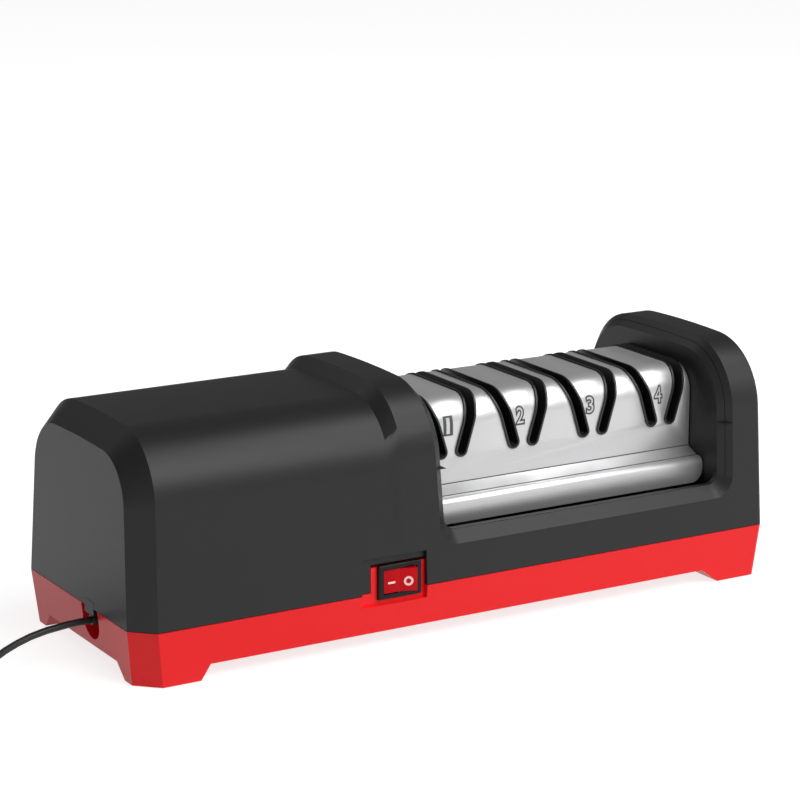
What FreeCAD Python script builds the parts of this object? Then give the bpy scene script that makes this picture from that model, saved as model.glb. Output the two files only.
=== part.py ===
import FreeCAD, Part
import math
import os

# Electric knife sharpener with four grinding stages, each with a left and a right knife slot.
# Millimetres. Origin at the middle of the footprint, on the table. +X runs along the body to the
# grinding end, -Y is the front with the switch, +Z is up.

V = FreeCAD.Vector

# Overall body
body_length = 315.8
body_depth = 116.8
split_z = 24.6
end_chamfer_x = 9.6
end_chamfer_y = 9.3
end_lean = 0.035
right_lean = -0.018
shell_wall = 2.5
part_gap = 0.3

# Base tray
tray_underside_z = 7.2
tray_floor = 2.5
tray_end_taper = 2.6
tray_side_taper = 1.8
foot_clear = 0.5
left_foot_length = 29.5
left_foot_slope = 4.2
right_foot_length = 23.7
right_foot_slope = 8.9
foot_width = 17.9
foot_inner_slope = 6.0
pad_radius = 6.0
pad_height = 2.0
pad_inset_x = 14.0
pad_inset_y = 10.0
vent_count = 9
vent_width = 2.6
vent_length = 40.0
vent_pitch = 6.0
vent_first_x = -104.0
joint_tongue = 1.6
joint_tongue_wall = 1.2
joint_root = 3.0

# Upper housing: motor section and the taller grinding section
motor_top_z = 104.6
motor_side_slope = 0.077
grind_top_z = 109.8
grind_side_slope = 0.055
corner_radius = 31.0
crown_radius = 620.0
step_foot_x = -37.7
step_crest_x = -32.3
right_rim_radius = 2.4

# Valley between the two hoops, where the guide stands
valley_left_x = -12.9
right_hoop_length = 16.7
valley_left_lean = -0.05
valley_crease_z = 40.3
valley_corner = 10.0
valley_chamfer = 5.3
valley_side_chamfer = 5.0
valley_join_z = 74.0
edge_overrun = 0.2
rail_lip = 2.6
valley_floor_z = 40.0
valley_floor_wall = 2.0
chamber_opening_half_y = 25.6
chamber_opening_margin = 4.6

# Grinding stages and slots
stage_count = 4
stage_end_room = 31.3
stage_middle_shift = -0.6
slot_half_spacing = 5.1
slot_centre_z = 73.0
slot_lean_deg = 17.0
slot_outer_width = 6.0
slot_channel_width = 4.2

# Guide cover, folded from sheet
cover_left_x = -7.4
cover_right_gap = 5.4
cover_sheet = 1.0
cover_top_z = 96.5
cover_face_y = 30.0
cover_fold_radius = 12.5
cover_ledge_top_z = 58.6
cover_ledge_bottom_z = 55.5
cover_ledge_y = 37.0
cover_skirt_y = 41.2
cover_nose_drop = 3.6
cover_skirt_bottom_z = 44.0
cover_skirt_corner = 6.0
ledge_bulge = 0.9
ledge_inset_share = 0.45
nose_drop_share = 0.4
bulge_drop_share = 0.8

# Slot guide inside the cover
guide_gap = 0.2
guide_wall = 2.0
guide_lip_proud = 0.6
guide_rib_depth = 6.0
guide_end_height_z = 88.0
guide_end_inset = 1.2
guide_tab_length = 14.0
guide_tab_reach = 8.0
guide_tab_thickness = 2.5
guide_tab_left_inset = 19.4
guide_tab_right_inset = 20.8

# Spindle
spindle_z = 50.0
shaft_radius = 4.0
shaft_left_x = -37.0
shaft_end_room = 4.9
shaft_flat_depth = 0.8
shaft_flat_left_x = -8.0
shaft_flat_right_gap = 6.6
running_clearance = 0.06
motor_shaft_radius = 3.0
motor_shaft_left_x = -124.5
coupling_gap = 1.0
coupling_radius = 8.0
coupling_grip = 7.4
coupling_screw_offset = 4.0
wall_notch_radius = 7.5

# Grinding discs
disc_radius = 25.0
disc_face_x = 4.4
disc_plate = 2.2
disc_band_inner = 14.0
disc_band_drop = 0.8
disc_hub_radius = 8.5
disc_hub_length = 7.0
resin_band_extra = 0.6
spring_mean_radius = 6.6
spring_wire_radius = 0.45
spring_turns = 2
spring_end_gap = 0.15
sleeve_outer_radius = 6.0
sleeve_end_gap = 0.3
clip_radius = 6.5
clip_thickness = 1.2

# Bearings
bearing_block_length = 10.0
bearing_block_width = 32.0
bearing_left_x = -25.0
bearing_right_overlap = 0.6
bearing_crown = 15.0
bearing_foot_height = 8.0
bearing_screw_inset = 4.0
bush_radius = 8.0

# Motor
motor_front_x = -52.0
motor_length = 64.0
motor_radius = 25.0
motor_can_wall = 1.8
motor_boss_radius = 8.0
motor_screw_offset = 14.0
motor_bush_radius = 5.0
motor_bush_length = 5.0
end_cap_length = 8.0
magnet_thickness = 4.0
magnet_length = 40.0
magnet_half_angle = 62.0
magnet_front_room = 9.0
air_gap = 0.9
armature_length = 34.0
armature_front_room = 12.0
armature_slot_floor = 9.0
armature_slots = 7
armature_slot_width = 3.0
winding_radius = 14.0
winding_length = 8.0
commutator_radius = 6.5
commutator_length = 9.0
commutator_cut = 0.5
commutator_right_x = -103.0
brush_size = 4.0
brush_length = 8.0
brush_clearance = 0.3
brush_arm_near = 7.6
brush_arm_far_room = 3.5
brush_arm_wall = 1.2
brush_fit = 0.05
bracket_thickness = 2.0
bracket_half_width = 27.0
bracket_top_z = 78.0
bracket_foot_length = 12.0
bracket_screw_y = 20.0
saddle_left_x = -108.0
saddle_length = 10.0
saddle_half_width = 22.0
saddle_screw_y = 18.0
saddle_drop = 12.0
strap_thickness = 1.0
strap_width = 6.0

# Switch
switch_left_x = -44.8
switch_bottom_z = 21.2
switch_bezel_length = 21.0
switch_bezel_height = 15.0
switch_bezel_proud = 1.8
switch_panel_depth = 2.6
switch_body_margin = 1.0
switch_body_depth = 13.0
switch_fit = 0.1
recess_left_x = -53.3
recess_right_x = -21.4
recess_bottom_z = 19.0
recess_top_z = 40.0
pad_margin = 3.0
upstand_margin_left = 3.0
upstand_margin_right = 2.6
upstand_wall = 2.6
upstand_gap = 0.25
rocker_half_length = 7.6
rocker_half_height = 5.1
rocker_side_gap = 0.35
rocker_end_gap = 0.65
rocker_pivot_proud = 0.4
rocker_pin_radius = 0.6
rocker_pin_reach = 0.65
rocker_face_drop = 1.0
rocker_throw_deg = 10.0
rocker_depth = 3.6
rocker_back_half = 5.4
terminal_width = 4.8
terminal_length = 7.0
terminal_thickness = 0.8
terminal_offset = 5.0
terminal_slot = 0.9
terminal_grip = 2.5

# Screws
screw_radius = 1.75
screw_head_radius = 3.4
screw_head_height = 2.4
screw_clearance = 0.2
boss_radius = 4.6
head_recess = 5.0
base_screw_left_inset = 38.9
base_screw_right_inset = 39.9
base_screw_side_inset = 6.9
base_screw_length = 22.0
housing_boss_top_z = 38.5
small_screw_radius = 1.4
small_head_radius = 2.6
small_head_height = 1.8
small_screw_length = 9.0
press_fit = 0.02
post_radius = 3.4

# Power lead. Its length is a free choice for such a product.
lead_radius = 1.5
lead_y = -12.0
lead_z = 18.8
notch_half_width = 8.0
notch_bottom_z = 10.3
notch_depth = 7.4
notch_box_wall = 2.4
tab_half_width = 4.5
tab_drop = 3.0
tab_thickness = 3.0
grommet_flange_radius = 4.6
grommet_flange = 1.4
grommet_base_radius = 3.2
grommet_tip_radius = 2.2
clamp_inset = 10.9
clamp_width = 6.0
clamp_half_length = 9.0
clamp_thickness = 2.5
clamp_screw_inset = 2.8
inner_lead_reach = 22.9
wire_radius = 0.8
wire_offset = 0.85
bend_share = 0.45
coil_mean_radius = 18.0
coil_pitch = 3.5
coil_layer_turns = 4.5
coil_distance = 72.1
coil_straight = 3.0
crossing_share = 0.2
crossing_climb = 3.0
plug_body_length = 20.0
plug_neck_radius = 2.6
plug_neck_length = 7.0
plug_barrel_radius = 2.75
plug_barrel_bore = 1.05
plug_barrel_length = 9.5
plug_tail_run = 7.5
plug_turn_deg = 16.0

half_length = body_length / 2
half_depth = body_depth / 2
left_foot_inner_x = -half_length + left_foot_length
right_foot_inner_x = half_length - right_foot_length
foot_inner_y = half_depth - foot_width
valley_right_x = half_length - right_hoop_length
cover_right_x = valley_right_x - cover_right_gap
stage_middle_x = (cover_left_x + cover_right_x) / 2 + stage_middle_shift
stage_pitch = (cover_right_x - cover_left_x - stage_end_room) / (stage_count - 1)
guide_tab_positions = (cover_left_x + guide_tab_left_inset, cover_right_x - guide_tab_right_inset)
bearing_right_x = valley_right_x - bearing_right_overlap
shaft_right_x = half_length - shaft_end_room
shaft_flat_right_x = bearing_right_x - shaft_flat_right_gap
switch_panel_y = -half_depth + switch_panel_depth
switch_bezel_front_y = switch_panel_y - switch_bezel_proud
rocker_pivot_y = switch_panel_y - rocker_pivot_proud
base_screw_x = (-half_length + base_screw_left_inset, half_length - base_screw_right_inset)
base_screw_y = half_depth - base_screw_side_inset
clamp_left_x = -half_length + clamp_inset
inner_lead_end_x = -half_length + inner_lead_reach
coil_entry_x = -half_length - coil_distance
coil_spread = coil_layer_turns * coil_pitch
coil_outer_radius = coil_mean_radius + coil_spread / 2
coil_inner_radius = coil_mean_radius - coil_spread / 2
plug_body_radius = lead_radius + coil_pitch
corner_run = math.tan(math.radians(22.5))
lead_exit_x = -half_length + tray_end_taper * (split_z - lead_z) / split_z

# Route of the lead from the notch to the coil, points chosen by hand
lead_route = [
    V(lead_exit_x, lead_y, lead_z),
    V(lead_exit_x - 17.713, lead_y, 18.6),
    V(lead_exit_x - 36.713, lead_y - 0.2, 13.6),
    V(lead_exit_x - 50.713, lead_y - 0.1, 5.0),
    V(coil_entry_x, lead_y, lead_radius),
]
lead_last_run = 11.0


def save(shape, name):
    """Write one sub-part to its own file."""
    shape.exportStep("parts/" + name + ".step")


def box(x0, x1, y0, y1, z0, z1):
    """A block between two corners."""
    return Part.makeBox(x1 - x0, y1 - y0, z1 - z0, V(x0, y0, z0))


def rod_x(x0, x1, radius, y=0.0, z=spindle_z):
    """A cylinder along X."""
    return Part.makeCylinder(radius, x1 - x0, V(x0, y, z), V(1, 0, 0))


def rod_y(y0, y1, radius, x, z):
    """A cylinder along Y."""
    return Part.makeCylinder(radius, y1 - y0, V(x, y0, z), V(0, 1, 0))


def rod_z(z0, z1, radius, x, y):
    """A cylinder along Z."""
    return Part.makeCylinder(radius, z1 - z0, V(x, y, z0), V(0, 0, 1))


def tube_x(x0, x1, outer, inner, y=0.0, z=spindle_z):
    """A hollow cylinder along X."""
    return rod_x(x0, x1, outer, y, z).cut(rod_x(x0, x1, inner, y, z))


def polygon_face(points):
    """A flat face through a closed list of points."""
    return Part.Face(Part.makePolygon(points + [points[0]]))


def prism_y(points_xz, y0, y1):
    """A prism along Y from an outline in X and Z."""
    face = polygon_face([V(x, y0, z) for x, z in points_xz])
    return face.extrude(V(0, y1 - y0, 0))


def group(shapes):
    """Separate solids kept in one node."""
    return Part.makeCompound(shapes)


def solid_of(shape):
    """The single solid of a boolean result."""
    return shape.removeSplitter().Solids[0]


def housing_section(x0, lean, side_slope, top_z, inset, bottom_z):
    """A closed arch outline: two leaning sides, two corner arcs and a slightly crowned top.

    It lies in a plane that leans along X by lean for each millimetre above the split."""
    n = math.hypot(1.0, side_slope)
    along = (side_slope / n, 1.0 / n)
    inward = (1.0 / n, -side_slope / n)
    crown_z = top_z - crown_radius
    start = (-half_depth + corner_radius * inward[0], split_z + corner_radius * inward[1])
    reach = crown_radius - corner_radius
    b = start[0] * along[0] + (start[1] - crown_z) * along[1]
    c = start[0] ** 2 + (start[1] - crown_z) ** 2 - reach ** 2
    t = -b + math.sqrt(b * b - c)
    centre = (start[0] + t * along[0], start[1] + t * along[1])
    radius = corner_radius - inset
    low = (centre[0] - radius * inward[0], centre[1] - radius * inward[1])
    up = (centre[0] / reach, (centre[1] - crown_z) / reach)
    high = (centre[0] + radius * up[0], centre[1] + radius * up[1])
    middle = (up[0] - inward[0], up[1] - inward[1])
    size = math.hypot(middle[0], middle[1])
    bulge = (centre[0] + radius * middle[0] / size, centre[1] + radius * middle[1] / size)
    shift = (low[1] - bottom_z) * side_slope
    foot = (low[0] - shift, bottom_z)
    apex = (0.0, top_z - inset)
    half_crown = ((high[0] + apex[0]) / 2, 0.0)
    crown = crown_radius - inset
    half_crown = (half_crown[0], crown_z + math.sqrt(crown ** 2 - half_crown[0] ** 2))

    def place(point, side=1):
        return V(x0 + lean * (point[1] - split_z), side * point[0], point[1])

    edges = [
        Part.LineSegment(place(foot, -1), place(foot)),
        Part.LineSegment(place(foot), place(low)),
        Part.Arc(place(low), place(bulge), place(high)),
        Part.Arc(place(high), place(half_crown), place(apex)),
        Part.Arc(place(apex), place(half_crown, -1), place(high, -1)),
        Part.Arc(place(high, -1), place(bulge, -1), place(low, -1)),
        Part.LineSegment(place(low, -1), place(foot, -1)),
    ]
    return Part.Wire([e.toShape() for e in edges])


def motor_section(x0, lean, inset, bottom_z):
    """The lower arch, over the motor."""
    return housing_section(x0, lean, motor_side_slope, motor_top_z, inset, bottom_z)


def grind_section(x0, lean, inset, bottom_z):
    """The taller arch of the hoops and the rail."""
    return housing_section(x0, lean, grind_side_slope, grind_top_z, inset, bottom_z)


def housing_form(inset, bottom_z, shorten=0.0):
    """The outer form of the upper housing, or its inside when inset by the wall."""
    left = -half_length + shorten
    right = half_length - shorten
    chamfer = end_chamfer_y + inset - corner_run * inset
    shoulder = left + end_chamfer_x - corner_run * inset
    wires = [
        motor_section(left, end_lean, chamfer, bottom_z),
        motor_section(shoulder, end_lean, inset, bottom_z),
        motor_section(step_foot_x, 0.0, inset, bottom_z),
        grind_section(step_crest_x, 0.0, inset, bottom_z),
        grind_section(right, right_lean, inset, bottom_z),
    ]
    return Part.makeLoft(wires, True, True)


def valley_x(z, side, depth):
    """X of a valley wall at a height, at a share of the chamfer's depth from the outside."""
    inward = valley_side_chamfer * depth
    if side < 0:
        return valley_left_x + valley_left_lean * (z - split_z) + inward
    return valley_right_x - inward


def front_point(x, z, depth, side):
    """A point on the grinding section's front or back plane, sunk by depth."""
    n = math.hypot(1.0, grind_side_slope)
    y = -half_depth + grind_side_slope * (z - split_z) + depth / n
    return V(x, side * -y, z - depth * grind_side_slope / n)


def valley_outline(depth, side):
    """The open side of the valley as a closed outline on a plane sunk by depth."""
    share = depth / valley_chamfer
    bottom = valley_crease_z + valley_chamfer * share
    radius = valley_corner - valley_side_chamfer * share
    near = bottom + radius
    cut = radius * (1 - math.sqrt(0.5))
    left_low = valley_x(near, -1, share)
    right_low = valley_x(near, 1, share)
    left_top = valley_x(valley_join_z, -1, share)
    right_top = valley_x(valley_join_z, 1, share)

    def at(x, z):
        return front_point(x, z, depth, side)

    edges = [
        Part.LineSegment(at(left_top, valley_join_z), at(left_low, near)),
        Part.Arc(at(left_low, near), at(left_low + cut, bottom + cut), at(left_low + radius, bottom)),
        Part.LineSegment(at(left_low + radius, bottom), at(right_low - radius, bottom)),
        Part.Arc(at(right_low - radius, bottom), at(right_low - cut, bottom + cut), at(right_low, near)),
        Part.LineSegment(at(right_low, near), at(right_top, valley_join_z)),
        Part.LineSegment(at(right_top, valley_join_z), at(left_top, valley_join_z)),
    ]
    return Part.Wire([e.toShape() for e in edges])


def valley_core(bottom_z, radius, grow=0.0):
    """The straight-walled middle of the valley, through the whole depth."""
    reach = body_depth
    top = grind_top_z + 2 * valley_chamfer
    near = bottom_z + radius
    cut = radius * (1 - math.sqrt(0.5))
    left_low = valley_x(near, -1, 1.0) - grow
    left_top = valley_x(top, -1, 1.0) - grow
    right = valley_x(near, 1, 1.0) + grow

    def at(x, z):
        return V(x, -reach, z)

    edges = [
        Part.LineSegment(at(left_top, top), at(left_low, near)),
        Part.Arc(at(left_low, near), at(left_low + cut, bottom_z + cut), at(left_low + radius, bottom_z)),
        Part.LineSegment(at(left_low + radius, bottom_z), at(right - radius, bottom_z)),
        Part.Arc(at(right - radius, bottom_z), at(right - cut, bottom_z + cut), at(right, near)),
        Part.LineSegment(at(right, near), at(right, top)),
        Part.LineSegment(at(right, top), at(left_top, top)),
    ]
    face = Part.Face(Part.Wire([e.toShape() for e in edges]))
    return face.extrude(V(0, 2 * reach, 0))


def hoop_edge_tool(side):
    """What is cut from a hoop to leave the sloped band along the top of its inner edge."""
    lean = valley_left_lean if side < 0 else 0.0
    sections = []
    for share in (-edge_overrun, 1.0 + edge_overrun):
        x = valley_x(split_z, side, share)
        sections.append(grind_section(x, lean, valley_chamfer * share, split_z))
    keep = Part.makeLoft(sections, True, True)
    low = valley_join_z
    high = grind_top_z + 2 * valley_chamfer
    outline = []
    for z, share in ((low, -edge_overrun / 2), (low, 1.0), (high, 1.0), (high, -edge_overrun / 2)):
        outline.append((valley_x(z, side, share), z))
    slab = prism_y(outline, -half_depth, half_depth)
    return slab.cut(keep)


def recess_cut(z0, z1):
    """The sunk panel round the switch."""
    return box(recess_left_x, recess_right_x, -half_depth - 1, switch_panel_y, z0, z1)


def upstand_box(grow=0.0):
    """The tray's red plate that carries the switch."""
    left = switch_left_x - upstand_margin_left - grow
    right = switch_left_x + switch_bezel_length + upstand_margin_right + grow
    top = switch_bottom_z + switch_bezel_height + 0.4 + grow
    return box(left, right, switch_panel_y, switch_panel_y + upstand_wall + grow, split_z - 4, top)


def switch_hole():
    """The window that the switch body clips into."""
    left = switch_left_x + switch_body_margin - switch_fit
    right = switch_left_x + switch_bezel_length - switch_body_margin + switch_fit
    low = switch_bottom_z + switch_body_margin - switch_fit
    high = switch_bottom_z + switch_bezel_height - switch_body_margin + switch_fit
    return box(left, right, -half_depth - 1, -half_depth + 12, low, high)


def base_screw_places():
    """X and Y of the four screws that join the tray and the housing."""
    return [(x, side * base_screw_y) for x in base_screw_x for side in (-1, 1)]


def shaft_notch(x0, x1, bottom_z):
    """A round-topped notch, open below, that lets a wall be lowered over the shaft."""
    reach = wall_notch_radius
    return rod_x(x0, x1, reach).fuse(box(x0, x1, -reach, reach, bottom_z, spindle_z))


def make_upper_housing():
    """The charcoal shell with its two hoops, rail, valley floor and dividing walls."""
    low = split_z + part_gap / 2
    shell = housing_form(0.0, low)
    inside = housing_form(shell_wall, low - 1.0, shell_wall)
    keep_solid = valley_core(valley_floor_z - valley_floor_wall, valley_side_chamfer, shell_wall)
    shell = shell.cut(inside.cut(keep_solid))
    sill_z = valley_crease_z + valley_chamfer
    shell = shell.cut(valley_core(sill_z, valley_corner - valley_side_chamfer))
    for side in (-1, 1):
        outlines = [valley_outline(depth, side) for depth in (-2.0, valley_chamfer)]
        shell = shell.cut(Part.makeLoft(outlines, True, True))
        shell = shell.cut(hoop_edge_tool(side))
    lip_y = half_depth - grind_side_slope * (sill_z - split_z) - valley_chamfer - rail_lip
    left = valley_x(valley_floor_z, -1, 1.0)
    right = valley_x(valley_floor_z, 1, 1.0)
    shell = shell.cut(box(left, right, -lip_y, lip_y, valley_floor_z, sill_z + valley_corner))
    opening_left = cover_left_x + chamber_opening_margin
    opening_right = cover_right_x - chamber_opening_margin
    reach = chamber_opening_half_y
    shell = shell.cut(box(opening_left, opening_right, -reach, reach, valley_floor_z - 6, sill_z))
    shell = shell.cut(shaft_notch(left - 12, right + 12, low - 1))
    for x, y in base_screw_places():
        boss = rod_z(low, housing_boss_top_z, boss_radius, x, y)
        shell = shell.fuse(boss).cut(rod_z(low, housing_boss_top_z - 2, screw_radius + press_fit, x, y))
    pad_x = (recess_left_x - pad_margin, recess_right_x + pad_margin)
    pad = box(*pad_x, switch_panel_y - 1, switch_panel_y + pad_margin, low, recess_top_z + pad_margin)
    shell = shell.fuse(pad).cut(recess_cut(low - 1, recess_top_z))
    shell = shell.cut(upstand_box(upstand_gap))
    shell = shell.cut(switch_hole())
    for x in guide_screw_x():
        for side in (-1, 1):
            y = side * guide_screw_y()
            post = rod_z(valley_floor_z - 10, valley_floor_z - 0.5, post_radius, x, y)
            bore = rod_z(valley_floor_z - 9, valley_floor_z + 1, small_screw_radius + press_fit, x, y)
            shell = shell.fuse(post).cut(bore)
    end_x = -half_length
    tab_y = (lead_y - tab_half_width, lead_y + tab_half_width)
    shell = shell.fuse(box(end_x, end_x + tab_thickness, *tab_y, split_z - tab_drop, split_z + tab_drop))
    return round_right_rim(solid_of(shell))


def round_right_rim(shell):
    """Round the outer rim of the right end."""
    rim = []
    for edge in shell.Edges:
        middle = edge.CenterOfMass
        on_end = abs(middle.x - (half_length + right_lean * (middle.z - split_z))) < 0.15
        if on_end and middle.z > split_z + 1.0:
            rim.append(edge)
    return shell.makeFillet(right_rim_radius, rim).Solids[0]


def tray_outline(z, inset):
    """Outline of the tray at a height, with chamfered left corners."""
    drop = (split_z - z) / split_z
    x1 = half_length - tray_end_taper * drop - inset
    y1 = half_depth - tray_side_taper * drop - inset
    cx = end_chamfer_x - corner_run * inset
    cy = end_chamfer_y - corner_run * inset
    points = [
        V(-x1, -y1 + cy, z),
        V(-x1 + cx, -y1, z),
        V(x1, -y1, z),
        V(x1, y1, z),
        V(-x1 + cx, y1, z),
        V(-x1, y1 - cy, z),
    ]
    return Part.makePolygon(points + [points[0]])


def make_base_tray():
    """The red tray: floor, walls, four feet, cord notch, bosses and the switch upstand."""
    top = split_z - part_gap / 2
    outer = Part.makeLoft([tray_outline(foot_clear, 0.0), tray_outline(top, 0.0)], True, True)
    right = [e for e in outer.Edges if e.CenterOfMass.x > half_length - 5 and e.BoundBox.ZLength > 5]
    outer = outer.makeFillet(right_rim_radius, right)
    floor_top = tray_underside_z + tray_floor
    hollow = [tray_outline(z, shell_wall) for z in (floor_top, top + 1)]
    inner = Part.makeLoft(hollow, True, True)
    tray = outer.cut(inner)
    lift = tray_underside_z
    span = prism_y(
        [
            (left_foot_inner_x, -1.0),
            (right_foot_inner_x, -1.0),
            (right_foot_inner_x, foot_clear),
            (right_foot_inner_x - right_foot_slope, lift),
            (left_foot_inner_x + left_foot_slope, lift),
            (left_foot_inner_x, foot_clear),
        ],
        -half_depth,
        half_depth,
    )
    tray = tray.cut(span)
    across = polygon_face(
        [
            V(-half_length, -foot_inner_y, -1.0),
            V(-half_length, foot_inner_y, -1.0),
            V(-half_length, foot_inner_y, foot_clear),
            V(-half_length, foot_inner_y - foot_inner_slope, lift),
            V(-half_length, -foot_inner_y + foot_inner_slope, lift),
            V(-half_length, -foot_inner_y, foot_clear),
        ]
    ).extrude(V(body_length, 0, 0))
    tray = tray.cut(across)
    tongue_inset = shell_wall + part_gap
    inner_inset = tongue_inset + joint_tongue_wall
    tongue = tray_ring(top - joint_root, split_z + joint_tongue, tongue_inset, inner_inset)
    root = tray_ring(top - joint_root, top, shell_wall / 2, inner_inset)
    pad_left = recess_left_x - pad_margin - part_gap
    pad_right = recess_right_x + pad_margin + part_gap
    tongue = tongue.cut(box(pad_left, pad_right, -half_depth, 0, top, top + 2 * joint_tongue))
    for x, y in base_screw_places():
        tongue = tongue.cut(rod_z(top, top + 2 * joint_tongue, boss_radius + part_gap, x, y))
    tray = tray.fuse(tongue).fuse(root)
    for x, y in base_screw_places():
        tray = tray.fuse(rod_z(lift, top, boss_radius, x, y))
        tray = tray.cut(rod_z(lift - 8, top + 1, screw_radius + screw_clearance, x, y))
        tray = tray.cut(rod_z(lift - 8, lift + head_recess, screw_head_radius + part_gap, x, y))
    for x, y in pad_places():
        tray = tray.cut(rod_z(-1, pad_height + 0.1, pad_radius + 0.15, x, y))
    for i in range(vent_count):
        x = vent_first_x + i * vent_pitch
        tray = tray.cut(box(x, x + vent_width, -vent_length / 2, vent_length / 2, lift - 1, floor_top + 1))
    pad_x = (recess_left_x - pad_margin, recess_right_x + pad_margin)
    tray = tray.fuse(box(*pad_x, switch_panel_y - 1, switch_panel_y + pad_margin, floor_top, top))
    tray = tray.fuse(upstand_box())
    tray = tray.cut(recess_cut(recess_bottom_z, split_z + 20))
    tray = tray.cut(switch_hole())
    return solid_of(add_cord_notch(add_clamp_bosses(tray), top))


def tray_ring(z0, z1, outer_inset, inner_inset):
    """An upright band along the tray's wall."""
    height = V(0, 0, z1 - z0)
    ring = Part.Face(tray_outline(split_z, outer_inset)).extrude(height)
    ring = ring.cut(Part.Face(tray_outline(split_z, inner_inset)).extrude(height))
    ring.translate(V(0, 0, z0 - split_z))
    return ring


def pad_places():
    """X and Y of the four rubber pads."""
    x1 = half_length - pad_inset_x
    y1 = half_depth - pad_inset_y
    return [(sx * x1, sy * y1) for sx in (-1, 1) for sy in (-1, 1)]


def add_cord_notch(tray, top):
    """The U-shaped pocket in the left wall where the lead leaves, with a hole into the tray."""
    end_x = -half_length
    back = end_x + notch_depth
    y0 = lead_y - notch_half_width
    y1 = lead_y + notch_half_width
    wall = notch_box_wall
    block = box(end_x + shell_wall, back + wall, y0 - wall, y1 + wall, tray_underside_z + 1, top)
    pocket = box(end_x - 1, back, y0, y1, notch_bottom_z + notch_half_width, top + 5)
    round_floor = rod_x(end_x - 1, back, notch_half_width, lead_y, notch_bottom_z + notch_half_width)
    hole = rod_x(back - 1, back + notch_box_wall + 1, lead_radius + 0.1, lead_y, lead_z)
    return tray.fuse(block).cut(pocket).cut(round_floor).cut(hole)


def clamp_screw_y():
    """Distance of the clamp's screws from the lead."""
    return clamp_half_length - clamp_screw_inset


def add_clamp_bosses(tray):
    """The saddle under the lead and the pillars of the bearing, motor and clamp screws."""
    floor_top = tray_underside_z + tray_floor
    x0 = clamp_left_x
    saddle_y = (lead_y - clamp_half_length, lead_y + clamp_half_length)
    saddle = box(x0, x0 + clamp_width, *saddle_y, floor_top - 0.5, lead_z - 0.2)
    saddle = saddle.cut(rod_x(x0 - 1, x0 + clamp_width + 1, lead_radius + 0.05, lead_y, lead_z))
    tray = tray.fuse(saddle)
    for side in (-1, 1):
        x = x0 + clamp_width / 2
        y = lead_y + side * clamp_screw_y()
        tray = tray.cut(rod_z(lead_z - 8, lead_z + 1, small_screw_radius + press_fit, x, y))
    bore = small_screw_radius + screw_clearance
    for x, y in floor_screw_places():
        tray = tray.cut(rod_z(tray_underside_z - 1, floor_top + 1, bore, x, y))
    return tray


def floor_screw_places():
    """X and Y of the screws that rise through the tray floor into blocks, bracket and saddle."""
    places = []
    for side in (-1, 1):
        for x in (bearing_left_x, bearing_right_x):
            y = bearing_block_width / 2 - bearing_screw_inset
            places.append((x + bearing_block_length / 2, side * y))
        bracket_x = motor_front_x + bracket_thickness + bracket_foot_length / 2
        places.append((bracket_x, side * bracket_screw_y))
        places.append((saddle_left_x + saddle_length / 2, side * saddle_screw_y))
    return places


def make_screw(x, y, head_z, length, radius, head_radius, head_height, up=1):
    """A pan-head screw along Z, its shank rising from the head, or hanging when up is -1."""
    head = rod_z(head_z, head_z + head_height, head_radius, x, y)
    start = head_z + head_height if up > 0 else head_z - length
    return head.fuse(rod_z(start, start + length, radius, x, y)).removeSplitter()


def make_small_screw(x, y, head_z, up=1):
    """One of the short screws."""
    sizes = (small_screw_length, small_screw_radius, small_head_radius, small_head_height)
    return make_screw(x, y, head_z, *sizes, up)


def make_base_screws():
    """Four screws from below, sunk in the tray's bosses."""
    head_z = tray_underside_z + head_recess - screw_head_height
    sizes = (base_screw_length, screw_radius, screw_head_radius, screw_head_height)
    return group([make_screw(x, y, head_z, *sizes) for x, y in base_screw_places()])


def make_floor_screws():
    """Eight short screws through the tray floor."""
    head_z = tray_underside_z - small_head_height
    return group([make_small_screw(x, y, head_z) for x, y in floor_screw_places()])


def make_foot_pads():
    """Four round rubber pads, let into the feet."""
    return group([rod_z(0, pad_height, pad_radius, x, y) for x, y in pad_places()])


def cover_profile(offset, bottom_z, ledge=True):
    """The cover's section as a closed outline in Y and Z, moved inwards by offset."""
    face_y = cover_face_y - offset
    top = cover_top_z - offset
    radius = cover_fold_radius - offset
    fold_y = face_y - radius
    fold_z = top - radius
    s = math.sqrt(0.5)
    left = cover_left_x

    def at(y, z):
        return V(left, y, z)

    def half(side):
        parts = []
        if ledge:
            skirt = side * (cover_skirt_y - offset)
            ledge_y = side * (cover_ledge_y - offset * ledge_inset_share)
            ledge_z = cover_ledge_bottom_z - offset
            nose_z = cover_ledge_bottom_z - cover_nose_drop - offset * nose_drop_share
            bulge_y = side * (cover_skirt_y - offset - ledge_bulge)
            bulge_z = cover_ledge_bottom_z - ledge_bulge - offset * bulge_drop_share
            top_ledge_z = cover_ledge_top_z - offset
            parts.append(Part.LineSegment(at(skirt, bottom_z), at(skirt, nose_z)))
            parts.append(Part.Arc(at(skirt, nose_z), at(bulge_y, bulge_z), at(ledge_y, ledge_z)))
            parts.append(Part.LineSegment(at(ledge_y, ledge_z), at(side * face_y, top_ledge_z)))
            parts.append(Part.LineSegment(at(side * face_y, top_ledge_z), at(side * face_y, fold_z)))
        else:
            parts.append(Part.LineSegment(at(side * face_y, bottom_z), at(side * face_y, fold_z)))
        bend = at(side * (fold_y + radius * s), fold_z + radius * s)
        parts.append(Part.Arc(at(side * face_y, fold_z), bend, at(side * fold_y, top)))
        return parts

    front = [p.toShape() for p in half(-1)]
    back = [p.toShape() for p in half(1)]
    roof = Part.LineSegment(at(-fold_y, top), at(fold_y, top)).toShape()
    outer_y = cover_skirt_y - offset if ledge else face_y
    close = Part.LineSegment(at(outer_y, bottom_z), at(-outer_y, bottom_z)).toShape()
    return Part.Wire(front + [roof] + back[::-1] + [close])


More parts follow.
